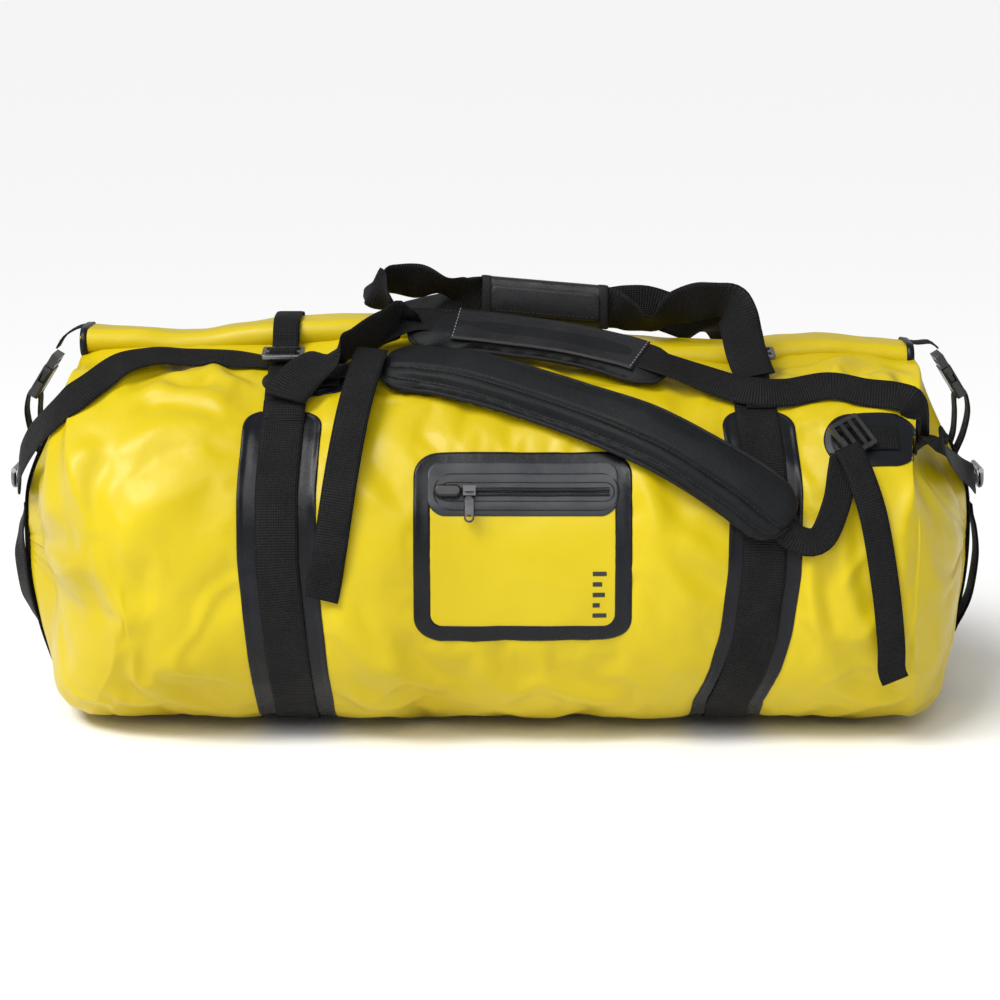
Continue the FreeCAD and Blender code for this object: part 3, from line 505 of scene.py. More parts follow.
def settle(point, normal, lift):
    """The point moved along the normal on to the stuffed cloth, and lift above it."""
    reach = 0.05
    hit = CLOTH.ray_cast(point + normal * reach, -normal, 2 * reach)
    ground = hit[0] if hit[0] else point
    return ground + normal * lift


def on(x, girth, lift):
    """A route point on the bag: its place lift above the stuffed cloth, and the skin's normal."""
    x, girth, lift = x * MM, girth * MM, lift * MM
    normal = skin_normal(x, girth)
    return settle(skin(x, girth), normal, lift), normal


def leant(x, girth, lift):
    """A route point on the bag whose strap leans its face forwards, its upper edge clear of the cloth."""
    place, normal = on(x, girth, lift)
    return place, skin_normal(x * MM, (girth + 45) * MM)


def at(place, facing):
    """A free route point, given in millimetres, with its facing."""
    return Vector(place) * MM, Vector(facing).normalized()


# ------------------------------------------------------------------ patches welded to the bag
def rounded_rectangle(x0, x1, g0, g1, radius, corner=8, run=10):
    """Points round a rounded rectangle, the same number for any size."""
    corners = [(x1 - radius, g0 + radius, -90), (x1 - radius, g1 - radius, 0),
               (x0 + radius, g1 - radius, 90), (x0 + radius, g0 + radius, 180)]
    points = []
    for number, (cx, cg, start) in enumerate(corners):
        for k in range(corner + 1):
            angle = math.radians(start + 90 * k / corner)
            points.append((cx + radius * math.cos(angle), cg + radius * math.sin(angle)))
        nx, ng, turn = corners[(number + 1) % 4]
        angle = math.radians(turn)
        following = (nx + radius * math.cos(angle), ng + radius * math.sin(angle))
        here = points[-1]
        for k in range(1, run):
            share = k / run
            points.append((here[0] + (following[0] - here[0]) * share,
                           here[1] + (following[1] - here[1]) * share))
    return points


def conform(places):
    """Vertices on the bag for (x, girth, height) places."""
    return [settle(skin(x, girth), skin_normal(x, girth), height) for x, girth, height in places]


def ring_plate(name, outer, inner, rings, lift, thick, rim_round=0.0016):
    """A plate between two outlines with the same number of points; its rims are rolled down to the cloth."""
    count = len(outer)
    places = []
    for k in range(rings + 1):
        share = k / rings
        for (ox, og), (ix, ig) in zip(outer, inner):
            rim = min(share, 1 - share) * math.hypot(ix - ox, ig - og)
            places.append((ox + (ix - ox) * share, og + (ig - og) * share,
                           lift + thick * min(1.0, math.sqrt(rim / rim_round))))
    places += [(x, girth, lift - RIM_SINK) for x, girth in outer + inner]
    faces = grid_faces(rings + 1, count, flip=True)
    skirt, last = (rings + 1) * count, rings * count
    for col in range(count):
        nxt = (col + 1) % count
        faces.append((skirt + col, col, nxt, skirt + nxt))
        faces.append((last + col, skirt + count + col, skirt + count + nxt, last + nxt))
    return new_mesh(name, conform(places), faces)


def grid_plate(name, x0, x1, g0, g1, radius, lift, thick, emboss=None, step=0.004, rim_round=0.0014):
    """A filled plate with rounded corners: a grid in the outline, its rim rolled down to the cloth.

    radius may be two, for the top and the bottom corners."""
    top, bottom = radius if isinstance(radius, tuple) else (radius, radius)
    rows = max(6, int((g1 - g0) / step))
    cols = max(6, int((x1 - x0) / step))
    girths = sorted({g0 + (g1 - g0) * k / rows for k in range(rows + 1)}
                    | {g0 + d for d in (0.0003, 0.0008, 0.0016)} | {g1 - d for d in (0.0003, 0.0008, 0.0016)})
    fine = [d / (x1 - x0) for d in (0.0004, 0.0012)]
    shares = sorted({k / cols for k in range(cols + 1)} | set(fine) | {1 - d for d in fine})
    places = []
    for girth in girths:
        cut = max(corner_cut(girth - g0, top), corner_cut(g1 - girth, bottom))
        for share in shares:
            x = x0 + cut + (x1 - x0 - 2 * cut) * share
            rim = min(girth - g0, g1 - girth, x - x0 - cut, x1 - cut - x)
            height = lift - RIM_SINK
            if rim >= 1e-6:
                relief_here = emboss(x, girth) if emboss else 0
                height = lift + thick * min(1.0, math.sqrt(rim / rim_round)) + relief_here
            places.append((x, girth, height))
    return new_mesh(name, conform(places), grid_faces(len(girths), len(shares), closed=False, flip=True))


def bead(name, path, radius, lift, closed=True, sides=8):
    """A thin raised line on the bag along (x, girth) points."""
    count = len(path)
    verts = []
    for number, (x, girth) in enumerate(path):
        after = path[(number + 1) % count if closed else min(number + 1, count - 1)]
        before = path[number - 1 if closed else max(number - 1, 0)]
        normal = skin_normal(x, girth)
        here = settle(skin(x, girth), normal, lift)
        across = (skin(*after) - skin(*before)).normalized().cross(normal).normalized()
        verts += [here + across * c + normal * s for c, s in circle(sides, radius)]
    return new_mesh(name, verts, grid_faces(count, sides, flip=True, looped=closed))


# ------------------------------------------------------------------ straps and stitches
def strap(name, pairs, width, thick, facing_is="normal", step=0.004):
    """A flat strap along (centre, facing) pairs, clear of the cloth."""
    profile = flat_profile(width, thick)
    verts, faces, uvs = swept(frames(smooth_route(pairs, step), facing_is), profile)
    return new_mesh(name, drape(verts, len(profile)), faces, uvs)


def webbing_strap(name, pairs, width, stands_for=None, thick=STRAP_THICK, body="bag", blend=None, **route):
    """A strap of webbing, standing for a CAD node where there is one."""
    piece = strap(name, pairs, width, thick, **route)
    return finish_piece(piece, WEBBING, body, (stands_for,) if stands_for else (), blend)


def drape(verts, count):
    """Lift a strap's points off the cloth where a fold would come through.

    A row has count points, half of them on the upper face."""
    for number, point in enumerate(verts):
        margin = 0.0022 if number % count < count // 2 else 0.0004
        ground, normal, face, far = CLOTH.find_nearest(point, 0.03)
        if ground and (point - ground).dot(normal) < margin:
            verts[number] = ground + normal * margin
    return verts


def sewn_webbing(name, path, width, thick, stands_for, columns=11):
    """Webbing sewn flat to the bag: every vertex follows the cloth. path is (x, girth) in metres."""
    stations = []
    run = 0.0
    for number, (x, girth) in enumerate(path):
        normal = skin_normal(x, girth)
        centre = skin(x, girth)
        along = skin(*path[min(number + 1, len(path) - 1)]) - skin(*path[max(number - 1, 0)])
        if number:
            run += (centre - stations[-1][0]).length
        stations.append((centre, normal.cross(along).normalized(), normal, run))

    def place(centre, across, normal, v, h):
        return settle(centre + across * v, normal, SEWN_LIFT + thick / 2 + h)

    verts, faces, uvs = swept(stations, flat_profile(width, thick, columns), place)
    for v in verts:
        v.z = max(v.z, 0.0)
    return finish_piece(new_mesh(name, verts, faces, uvs), WEBBING, replaces=(stands_for,))


def stitches(name, points, normals, pitch=0.0042, length=0.0028, radius=0.00042, sides=5):
    """A row of thread stitches along points, lying across their normals."""
    outline = ((-0.5, 0.3), (-0.3, 1.0), (0.3, 1.0), (0.5, 0.3))
    quads = grid_faces(len(outline), sides)
    verts, faces = [], []
    run, target = 0.0, pitch / 2
    for a, b, normal in zip(points, points[1:], normals):
        span = (b - a).length
        if span < 1e-9:
            continue
        along = (b - a) / span
        across = along.cross(normal).normalized()
        while target <= run + span:
            centre = a + along * (target - run)
            faces += [tuple(len(verts) + i for i in quad) for quad in quads]
            verts += [centre + along * t * length + (across * c + normal * s) * radius * r
                      for t, r in outline for c, s in circle(sides)]
            target += pitch
        run += span
    return new_mesh(name, verts, faces)


def join_objects(name, objects):
    """Several meshes as one object."""
    verts, faces = [], []
    for o in objects:
        offset = len(verts)
        verts += [v.co.copy() for v in o.data.vertices]
        faces += [tuple(i + offset for i in p.vertices) for p in o.data.polygons]
        bpy.data.objects.remove(o)
    return new_mesh(name, verts, faces)


# ------------------------------------------------------------------ materials
def material(name):
    """A new material with its nodes, links and shader."""
    mat = bpy.data.materials.new(name)
    mat.use_nodes = True
    nodes = mat.node_tree.nodes
    nodes.clear()
    out = nodes.new("ShaderNodeOutputMaterial")
    shader = nodes.new("ShaderNodeBsdfPrincipled")
    mat.node_tree.links.new(shader.outputs[0], out.inputs[0])
    return mat, nodes, mat.node_tree.links, shader


def math_node(nodes, links, kind, a, b=None):
    """Arithmetic on sockets or numbers."""
    node = nodes.new("ShaderNodeMath")
    node.operation = kind
    for socket, source in zip(node.inputs, (a, b)):
        if source is None:
            continue
        if isinstance(source, (int, float)):
            socket.default_value = source
        else:
            links.new(source, socket)
    return node.outputs[0]


def noise_node(nodes, links, vector, scale, detail=3.0, rough=0.5):
    """Noise at a scale, 0 to 1."""
    node = nodes.new("ShaderNodeTexNoise")
    node.inputs["Scale"].default_value = scale
    node.inputs["Detail"].default_value = detail
    node.inputs["Roughness"].default_value = rough
    links.new(vector, node.inputs["Vector"])
    return node.outputs["Fac"]


def ramp_node(nodes, links, source, stops):
    """A colour ramp from (place, colour) stops."""
    node = nodes.new("ShaderNodeValToRGB")
    links.new(source, node.inputs[0])
    ramp = node.color_ramp
    while len(ramp.elements) < len(stops):
        ramp.elements.new(0.5)
    for element, (place, colour) in zip(ramp.elements, stops):
        element.position = place
        element.color = tuple(colour) + (1.0,)
    return node.outputs[0]


def range_node(nodes, links, source, low, high, start=0.3, end=0.7):
    """The source's range from start to end, mapped to low to high."""
    node = nodes.new("ShaderNodeMapRange")
    links.new(source, node.inputs[0])
    for socket, number in zip(node.inputs[1:5], (start, end, low, high)):
        socket.default_value = number
    return node.outputs[0]


def bump_chain(nodes, links, shader, *layers):
    """Bump from (height, strength, distance) layers, the coarsest first."""
    before = None
    for height, strength, distance in layers:
        bump = nodes.new("ShaderNodeBump")
        bump.inputs["Strength"].default_value = strength
        bump.inputs["Distance"].default_value = distance
        links.new(height, bump.inputs["Height"])
        if before:
            links.new(before, bump.inputs["Normal"])
        before = bump.outputs[0]
    links.new(before, shader.inputs["Normal"])


def object_vector(nodes):
    """The object's own coordinates, in metres."""
    return nodes.new("ShaderNodeTexCoord").outputs["Object"]


def tarpaulin(name, dark, base, light, rough, weave=0.10, shine=0.30, coat=0.06):
    """Coated cloth: colour that drifts, scuffs that dull it, a faint woven grain and soft small creases."""
    mat, nodes, links, shader = material(name)
    vector = object_vector(nodes)
    drift = noise_node(nodes, links, vector, 5.0, 3.0)
    links.new(ramp_node(nodes, links, drift, [(0.25, dark), (0.5, base), (0.78, light)]),
              shader.inputs["Base Color"])
    scuff = noise_node(nodes, links, vector, 38.0, 6.0, 0.65)
    links.new(range_node(nodes, links, scuff, rough - 0.06, rough + 0.12), shader.inputs["Roughness"])
    shader.inputs["Specular IOR Level"].default_value = shine
    shader.inputs["Coat Weight"].default_value = coat
    shader.inputs["Coat Roughness"].default_value = 0.25
    split = nodes.new("ShaderNodeSeparateXYZ")
    links.new(vector, split.inputs[0])
    pitch = 2 * math.pi / 0.0011
    threads = [math_node(nodes, links, "SINE", math_node(nodes, links, "MULTIPLY", split.outputs[i], pitch))
               for i in (0, 2)]
    grain = math_node(nodes, links, "MULTIPLY", threads[0], threads[1])
    crease = noise_node(nodes, links, vector, 16.0, 4.0, 0.55)
    fine = noise_node(nodes, links, vector, 90.0, 3.0)
    bump_chain(nodes, links, shader, (crease, 0.35, 0.004), (fine, 0.12, 0.0008), (grain, weave, 0.0003))
    return mat


def webbing(name, dark, light, rib=0.0024, rough=0.62, sheen=0.01):
    """Woven webbing from the strap's own lengths: ribs, columns and fuzz."""
    mat, nodes, links, shader = material(name)
    coords = nodes.new("ShaderNodeUVMap")
    coords.uv_map = "Lay"
    split = nodes.new("ShaderNodeSeparateXYZ")
    links.new(coords.outputs[0], split.inputs[0])
    vector = object_vector(nodes)
    wander = noise_node(nodes, links, vector, 60.0, 2.0)
    along = math_node(nodes, links, "ADD", split.outputs[0],
                      math_node(nodes, links, "MULTIPLY", wander, 0.0012))
    ribs = math_node(nodes, links, "SINE", math_node(nodes, links, "MULTIPLY", along, 2 * math.pi / rib))
    columns = math_node(nodes, links, "SINE",
                        math_node(nodes, links, "MULTIPLY", split.outputs[1], 2 * math.pi / 0.0021))
    weave = math_node(nodes, links, "ADD", ribs, math_node(nodes, links, "MULTIPLY", columns, 0.55))
    fuzz = noise_node(nodes, links, vector, 420.0, 3.0)
    tone = math_node(nodes, links, "ADD", math_node(nodes, links, "MULTIPLY", weave, 0.16), fuzz)
    links.new(ramp_node(nodes, links, tone, [(0.25, dark), (0.85, light)]), shader.inputs["Base Color"])
    worn = noise_node(nodes, links, vector, 30.0, 4.0)
    links.new(range_node(nodes, links, worn, rough - 0.08, rough + 0.14), shader.inputs["Roughness"])
    shader.inputs["Sheen Weight"].default_value = sheen
    shader.inputs["Sheen Roughness"].default_value = 0.45
    shader.inputs["Specular IOR Level"].default_value = 0.16
    bump_chain(nodes, links, shader, (worn, 0.15, 0.001), (weave, 0.5, 0.0005), (fuzz, 0.2, 0.0003))
    return mat


def pad_cloth(name, dark, light, rough=0.55, pitch=0.0016, bump=0.35):
    """Dense stretch cloth over foam: a fine knit, soft sheen and patches of wear."""
    mat, nodes, links, shader = material(name)
    vector = object_vector(nodes)
    cells = nodes.new("ShaderNodeTexVoronoi")
    cells.inputs["Scale"].default_value = 1 / pitch
    links.new(vector, cells.inputs["Vector"])
    drift = noise_node(nodes, links, vector, 22.0, 4.0)
    fuzz = noise_node(nodes, links, vector, 300.0, 3.0)
    tone = math_node(nodes, links, "ADD", math_node(nodes, links, "MULTIPLY", drift, 0.7),
                     math_node(nodes, links, "MULTIPLY", fuzz, 0.4))
    links.new(ramp_node(nodes, links, tone, [(0.35, dark), (0.8, light)]), shader.inputs["Base Color"])
    links.new(range_node(nodes, links, drift, rough - 0.07, rough + 0.1), shader.inputs["Roughness"])
    shader.inputs["Specular IOR Level"].default_value = 0.17
    bump_chain(nodes, links, shader, (drift, 0.3, 0.003), (cells.outputs["Distance"], bump, 0.0005))
    return mat


def moulded(name, dark, light, rough=0.38, metallic=0.0, scratch=0.10):
    """Moulded plastic or plated metal: fine texture, rub marks, edges a little lighter where they wear."""
    mat, nodes, links, shader = material(name)
    vector = object_vector(nodes)
    drift = noise_node(nodes, links, vector, 120.0, 4.0)
    edge = nodes.new("ShaderNodeNewGeometry").outputs["Pointiness"]
    worn = range_node(nodes, links, edge, 0.0, 1.0, 0.52, 0.62)
    tone = math_node(nodes, links, "ADD", math_node(nodes, links, "MULTIPLY", drift, 0.5), worn)
    links.new(ramp_node(nodes, links, tone, [(0.2, dark), (0.9, light)]), shader.inputs["Base Color"])
    links.new(range_node(nodes, links, drift, rough - 0.08, rough + 0.12), shader.inputs["Roughness"])
    shader.inputs["Metallic"].default_value = metallic
    grain = noise_node(nodes, links, vector, 900.0, 2.0)
    bump_chain(nodes, links, shader, (drift, scratch, 0.0004), (grain, 0.10, 0.0001))
    return mat


YELLOW = tarpaulin("pvc_yellow", (0.46, 0.34, 0.002), (0.53, 0.405, 0.003), (0.60, 0.465, 0.007), 0.36, 0.10,
                   0.25)
BLACK_PVC = tarpaulin("pvc_black", (0.003, 0.0035, 0.005), (0.0045, 0.005, 0.007), (0.007, 0.008, 0.012),
                      0.25, 0.14, 0.21, 0.03)
# the zip field's black PVC: its base colour is several times lighter than pvc_black as a painted reflection
# of the light from above; its roughness, shine and coat also differ
PAINTED_SHEEN_PVC = tarpaulin("pvc_black_painted_sheen", (0.014, 0.016, 0.019), (0.021, 0.024, 0.028), (0.030, 0.033, 0.038), 0.34,
                      0.10, 0.30, 0.05)
WEBBING = webbing("webbing_black", (0.001, 0.001, 0.0013), (0.008, 0.008, 0.009))
THREAD = moulded("thread_black", (0.008, 0.008, 0.009), (0.022, 0.022, 0.024), 0.6)
PAD = pad_cloth("pad_black", (0.0022, 0.0026, 0.003), (0.008, 0.009, 0.010))
SLEEVE = pad_cloth("sleeve_black", (0.006, 0.006, 0.007), (0.018, 0.018, 0.020), 0.42, 0.0011, 0.2)
WRAP = tarpaulin("wrap_black", (0.006, 0.006, 0.007), (0.010, 0.010, 0.012), (0.016, 0.016, 0.018), 0.26, 0.2)
PLASTIC = moulded("moulded_black", (0.004, 0.004, 0.004), (0.018, 0.018, 0.020), 0.30)
METAL = moulded("dark_metal", (0.16, 0.16, 0.17), (0.42, 0.42, 0.44), 0.30, 1.0, 0.2)
BLACK_METAL = moulded("painted_metal", (0.012, 0.012, 0.013), (0.05, 0.05, 0.053), 0.26, 0.5, 0.15)
BINDING = pad_cloth("binding_black", (0.005, 0.005, 0.006), (0.016, 0.016, 0.018), 0.6, 0.0009, 0.3)
LIGHT_THREAD = moulded("thread_grey", (0.22, 0.22, 0.22), (0.38, 0.38, 0.38), 0.6)
PRINT = moulded("printed_black", (0.012, 0.012, 0.013), (0.03, 0.03, 0.033), 0.5)

# ------------------------------------------------------------------ build: the rest settles on the cloth
cloth = make_body()
CLOTH = surface_tree(cloth)
finish_piece(cloth, YELLOW, replaces=("body_tube", "end_panel_left", "end_panel_right"))


def make_roll():
    """The neck wound flat on itself: one sheet in a spiral, extruded along the bag and gently out of true."""
    turns, half_width, half_height, gap_step = 3.25, 0.0305, 0.0135, 0.0030
    steps = 150
    spiral = []
    for k in range(steps + 1):
        t = k / steps
        angle = -math.pi * 0.5 + 2 * math.pi * turns * t
        gap = gap_step * turns * t
        tall, wide = half_height - gap, half_width - gap
        c, s = math.cos(angle), math.sin(angle)
        y = (wide - tall) * (1 if c > 0 else -1) * min(1.0, abs(c) * 3) + tall * c
        spiral.append((y, tall * s))
    half = 0.391
    count = 150
    verts = []
    for i in range(count + 1):
        x = -half + 2 * half * i / count
        lean = noise.noise(Vector((x * 5.0, 7.2, 0))) * 0.14
        fat = 1 + 0.10 * noise.noise(Vector((x * 9.0, 4.4, 0)))
        sway = 0.004 * noise.noise(Vector((x * 6.5, 1.7, 0)))
        middle = Vector((x, sway, ROLL_HEIGHT + ridge(x)))
        for y, z in spiral:
            wrinkle = 0.0014 * noise.noise(Vector((x * 34, y * 50, z * 50)))
            verts.append(middle + Vector((0, (y * math.cos(lean) - z * math.sin(lean)) * fat,
                                          (y * math.sin(lean) + z * math.cos(lean)) * fat + wrinkle)))
    roll = new_mesh("rolled_neck", verts, grid_faces(count + 1, len(spiral), closed=False))
    solid = roll.modifiers.new("cloth", "SOLIDIFY")
    solid.thickness = 0.0012
    solid.offset = 0
    finish_piece(roll, YELLOW, replaces=("roll_closure", "stiffener_front", "stiffener_back"))
    bindings = []
    layers = ((0.0, 0.0), (0.0004, 0.0009), (0.0065, 0.0012), (0.007, 0.0))
    sides = 48
    for sign in (-1, 1):
        ring = []
        for step, grow in layers:
            x = sign * (half + 0.0006 - step)
            for c, s in circle(sides):
                y = (half_width - half_height) * math.copysign(min(1.0, abs(c) * 3),
                                                               c) + (half_height + grow) * c
                ring.append(Vector((x, y, ROLL_HEIGHT + ridge(x) + (half_height + grow) * s)))
        bindings.append(new_mesh("binding", ring, grid_faces(len(layers), sides)))
    bound = join_objects("rolled_neck_bindings", bindings)
    finish_piece(bound, BLACK_PVC)


def make_bands():
    """The two bands with their welded patches, and the fold over the left one."""
    whole = 2 * HALF_GIRTH
    top, back = BAND_TOP, whole - BAND_TOP
    radius = 0.020
    corner = [radius * (1 - math.cos(math.pi / 2 * k / 8)) for k in range(8)]
    straight = int((back - top - 2 * radius) / 0.006)
    rows = [top + d for d in corner]
    rows += [top + radius + (back - top - 2 * radius) * k / straight for k in range(straight + 1)]
    rows += [back - d for d in reversed(corner)]
    outward = [0, 0.25, 0.5, 0.62, 0.7, 0.8, 0.85, 0.9, 0.95, 0.985, 1]
    shares = [-s for s in reversed(outward[1:])] + outward

    def round_under(girth):
        return girth if girth <= HALF_GIRTH else girth - whole

    for side, half, start in (("left", 0.0355, 0.160), ("right", 0.0325, 0.104)):
        verts = []
        for g in rows:
            depth = min(g - top, back - g)
            wide = half - corner_cut(depth, radius)
            girth = round_under(g)
            for s in shares:
                x = band_x(side, girth) + wide * s
                rim = min(wide * (1 - abs(s)), depth)
                lift = 0.0002 + 0.0013 * min(1.0, math.sqrt(max(0.0, rim) / 0.0015))
                if 0.0045 < rim < 0.0075:  # the welded line
                    lift -= 0.0005
                if rim < 1e-5:
                    lift = -0.0008
                spot = settle(skin(x, girth), skin_normal(x, girth), lift)
                spot.z = max(spot.z, 0.0012)
                verts.append(spot)
        patch = new_mesh(f"welded_patch_{side}", verts, grid_faces(len(rows), len(shares), closed=False,
                                                                   flip=True))
        finish_piece(patch, BLACK_PVC, replaces=(f"band_patch_{side}",))
        stop = whole - 0.158
        count = int((stop - start) / 0.005)
        girths = [round_under(start + (stop - start) * k / count) for k in range(count + 1)]
        sewn_webbing(f"band_{side}", [(band_x(side, girth), girth) for girth in girths], BAND_WIDTH,
                     WEBBING_THICK, f"band_webbing_{side}", 13)
    fold = [on(-191, girth, lift) for girth, lift in ((138, 3.4), (149, 5), (157, 5.2), (163, 2.6))]
    webbing_strap("band_collar_left", fold, BAND_WIDTH, thick=0.0026, step=0.002)


def make_pocket():
    """The welded frame, the yellow centre, the zip in its field and a column of plain bars."""
    left, right, top, bottom = -0.074, 0.119, 0.197, 0.371
    border = 0.0155
    outer = rounded_rectangle(left, right, top, bottom, 0.024)
    inner = rounded_rectangle(left + border, right - border, top + border, bottom - border, 0.010)
    frame_piece = ring_plate("pocket_border", outer, inner, 10, 0.0004, 0.0013)
    finish_piece(frame_piece, BLACK_PVC, replaces=("pocket_frame",))
    panel = grid_plate("pocket_front", left + border - 0.002, right - border + 0.002, top + 0.03,
                       bottom - border + 0.002, 0.010, 0.0002, 0.0007)
    finish_piece(panel, YELLOW, replaces=("pocket_panel",))
    zip_girth = 0.235
    zip_left, zip_right = -0.046, 0.099

    def emboss(x, girth):
        """A shallow dish round the zip."""
        depth = abs(girth - zip_girth)
        return 0.0006 * math.exp(-((depth - 0.013) / 0.0045) ** 2)

    field = grid_plate("zip_field", left + 0.012, right - 0.012, top + 0.010, top + 0.060, (0.012, 0.017),
                       0.0012, 0.0008, emboss, 0.0025)
    # the field's lighter colour is a painted reflection, not a lighter cloth
    finish_piece(field, PAINTED_SHEEN_PVC)
    for name, grow, radius in (("outer", 0.0165, 0.0007), ("inner", 0.0085, 0.0006)):
        ring = rounded_rectangle(zip_left - grow * 0.6, zip_right + grow * 0.5, zip_girth - grow,
                                 zip_girth + grow, grow * 0.98, 10, 24)
        finish_piece(bead(f"zip_weld_{name}", ring, radius, 0.0019), BLACK_PVC)
    flaps = []
    for lip in (-1, 1):
        path = [(zip_left + (zip_right - zip_left) * k / 60, zip_girth + lip * 0.0021) for k in range(61)]
        flaps.append(bead(f"lip_{lip}", path, 0.0021, 0.0016, closed=False))
    finish_piece(join_objects("zip_lips", flaps), BLACK_PVC, replaces=("zip_tape",))
    bars = []
    for number, length in enumerate((0.013, 0.009, 0.0115, 0.007, 0.013)):
        girth = 0.306 + number * 0.0095
        bars.append(grid_plate(f"bar_{number}", 0.084, 0.084 + length, girth, girth + 0.0045, 0.0008, 0.0011,
                               0.00025, None, 0.002))
    finish_piece(join_objects("printed_bars", bars), PRINT)


def make_ovals():
    """The welded ovals that hold the backpack straps, each with its sewn tab."""
    half, reach = 0.044, 0.0285
    for face, sign in FACES:
        ovals = (("left", -0.171, 0.102, 0.012, 0.007), ("right", 0.334, 0.186, 0.007, 0))
        for side, x, girth, tab_x, tab_girth in ovals:
            low, high = sorted((sign * (girth - reach), sign * (girth + reach)))

            def emboss(px, pg, x=x, g=sign * girth):
                """The welded line inside the rim."""
                edge = math.hypot(max(0.0, abs(px - x) - (half - reach)), pg - g)
                return 0.0005 * math.exp(-((edge - reach + 0.006) / 0.0012) ** 2)

            oval = grid_plate(f"oval_{face}_{side}", x - half, x + half, low, high, reach * 0.999, 0.0003,
                              0.0011, emboss, 0.002)
            finish_piece(oval, BLACK_PVC, replaces=(f"oval_patch_{face}_{side}",))
            path = [(x + tab_x - 0.012 + 0.028 * k / 9, sign * (girth + tab_girth)) for k in range(10)]
            sewn_webbing(f"tab_{face}_{side}", path, STRAP_WIDTH, STRAP_THICK, f"anchor_tab_{face}_{side}")


def rounded_ends(run, total, reach, blunt=2.4):
    """How wide a pad is near its ends, from 0 to 1."""
    depth = min(run, total - run) / reach
    if depth >= 1:
        return 1.0
    return max(0.06, (1 - (1 - max(0.0, depth)) ** blunt) ** (1 / blunt))


def make_pad(name, pairs, width, thick, replaces, grooves, ends=0.030):
    """A foam pad, swelled by a cloth simulation, then drawn in along its sewn grooves, with a piped rim."""
    stations = frames(smooth_route(pairs, 0.004))
    total = stations[-1][3]
    upper = 19

    def crown(share):
        return math.sqrt(max(0.0, 1 - abs(share) ** 3.2))

    verts = []
    for centre, across, normal, run in stations:
        scale = rounded_ends(run, total, ends)
        half = width / 2 * scale
        row = []
        for k in range(upper):
            share = -1 + 2 * k / (upper - 1)
            rise = thick * (0.42 * crown(share) + 0.08 * (1 - share * share)) * min(1.0, 0.4 + 0.6 * scale)
            row.append((share * half, rise))
        for k in range(upper - 2, 0, -1):
            share = -1 + 2 * k / (upper - 1)
            row.append((share * half, -thick * 0.40 * math.sqrt(max(0.0, 1 - abs(share) ** 5))))
        verts += [centre + across * v + normal * h for v, h in row]
    pad = new_mesh(name, verts, tube_faces(len(stations), 2 * upper - 2))
    remesh = pad.modifiers.new("even", "REMESH")
    remesh.mode = "VOXEL"
    remesh.voxel_size = 0.0042
    even = bpy.data.meshes.new_from_object(pad.evaluated_get(bpy.context.evaluated_depsgraph_get()))
    pad.modifiers.clear()
    pad.data = even
    swell(pad, (), pressure=4.0, grow=0.0, cap=0.0045, steps=16)
    finer(pad)
    middles = np.array([s[0] for s in stations])
    for vertex in pad.data.vertices:
        nearest = int(np.argmin(((middles - np.array(vertex.co)) ** 2).sum(axis=1)))
        centre, across, normal, run = stations[nearest]
        offset = vertex.co - centre
        v, h = offset.dot(across), offset.dot(normal)
        scale = rounded_ends(run, total, ends)
        if h > 0:
            for place, depth, reach in grooves:
                vertex.co -= normal * (depth * scale * math.exp(-((v - place * scale) / reach) ** 2))
        elif h < -0.45 * thick:
            vertex.co += normal * (-0.45 * thick - h)
    pad.data.update()
    finish_piece(pad, PAD, replaces=replaces)
    top = surface_tree(pad)

    def on_pad(station, v, lift):
        centre, across, normal, run = station
        start = centre + across * v
        hit = top.ray_cast(start + normal * 0.04, -normal, 0.06)
        return (hit[0] if hit[0] else start) + normal * lift, normal

    rims, rows = [], []
    for edge in (-1, 1):  # the rim is smoothed along the pad, but not at its ends
        reaches = []
        for c, a, n, r in stations:
            side = top.ray_cast(c + a * (edge * width), -a * edge, width)
            reaches.append((side[0] - c).length if side[0] else 0.0)
        rim = []
        for k, (c, a, n, r) in enumerate(stations):
            near = reaches[max(0, k - 4):k + 5]
            share = min(1.0, min(k, len(reaches) - 1 - k) / 8)
            rim.append((c + a * edge * (0.0004 + reaches[k] + (sum(near) / len(near) - reaches[k]) * share),
                        n))
        rims.append(tube(f"{name}_rim_{edge}", rim, PIPING_RADIUS))
    finish_piece(join_objects(f"{name}_piping", rims), BINDING)
    inner = [s for s in stations if rounded_ends(s[3], total, ends) > 0.7]
    for place, depth, reach in grooves:
        sewn = [on_pad(s, place * rounded_ends(s[3], total, ends), 0.0002) for s in inner]
        rows.append(stitches(f"{name}_row", [p for p, n in sewn], [n for p, n in sewn]))
    finish_piece(join_objects(f"{name}_stitching", rows), THREAD)


def tube(name, pairs, radius, sides=8):
    """A round cord along (centre, normal) pairs, closed at both ends."""
    return new_mesh(name, *swept(frames(pairs), circle(sides, radius)))


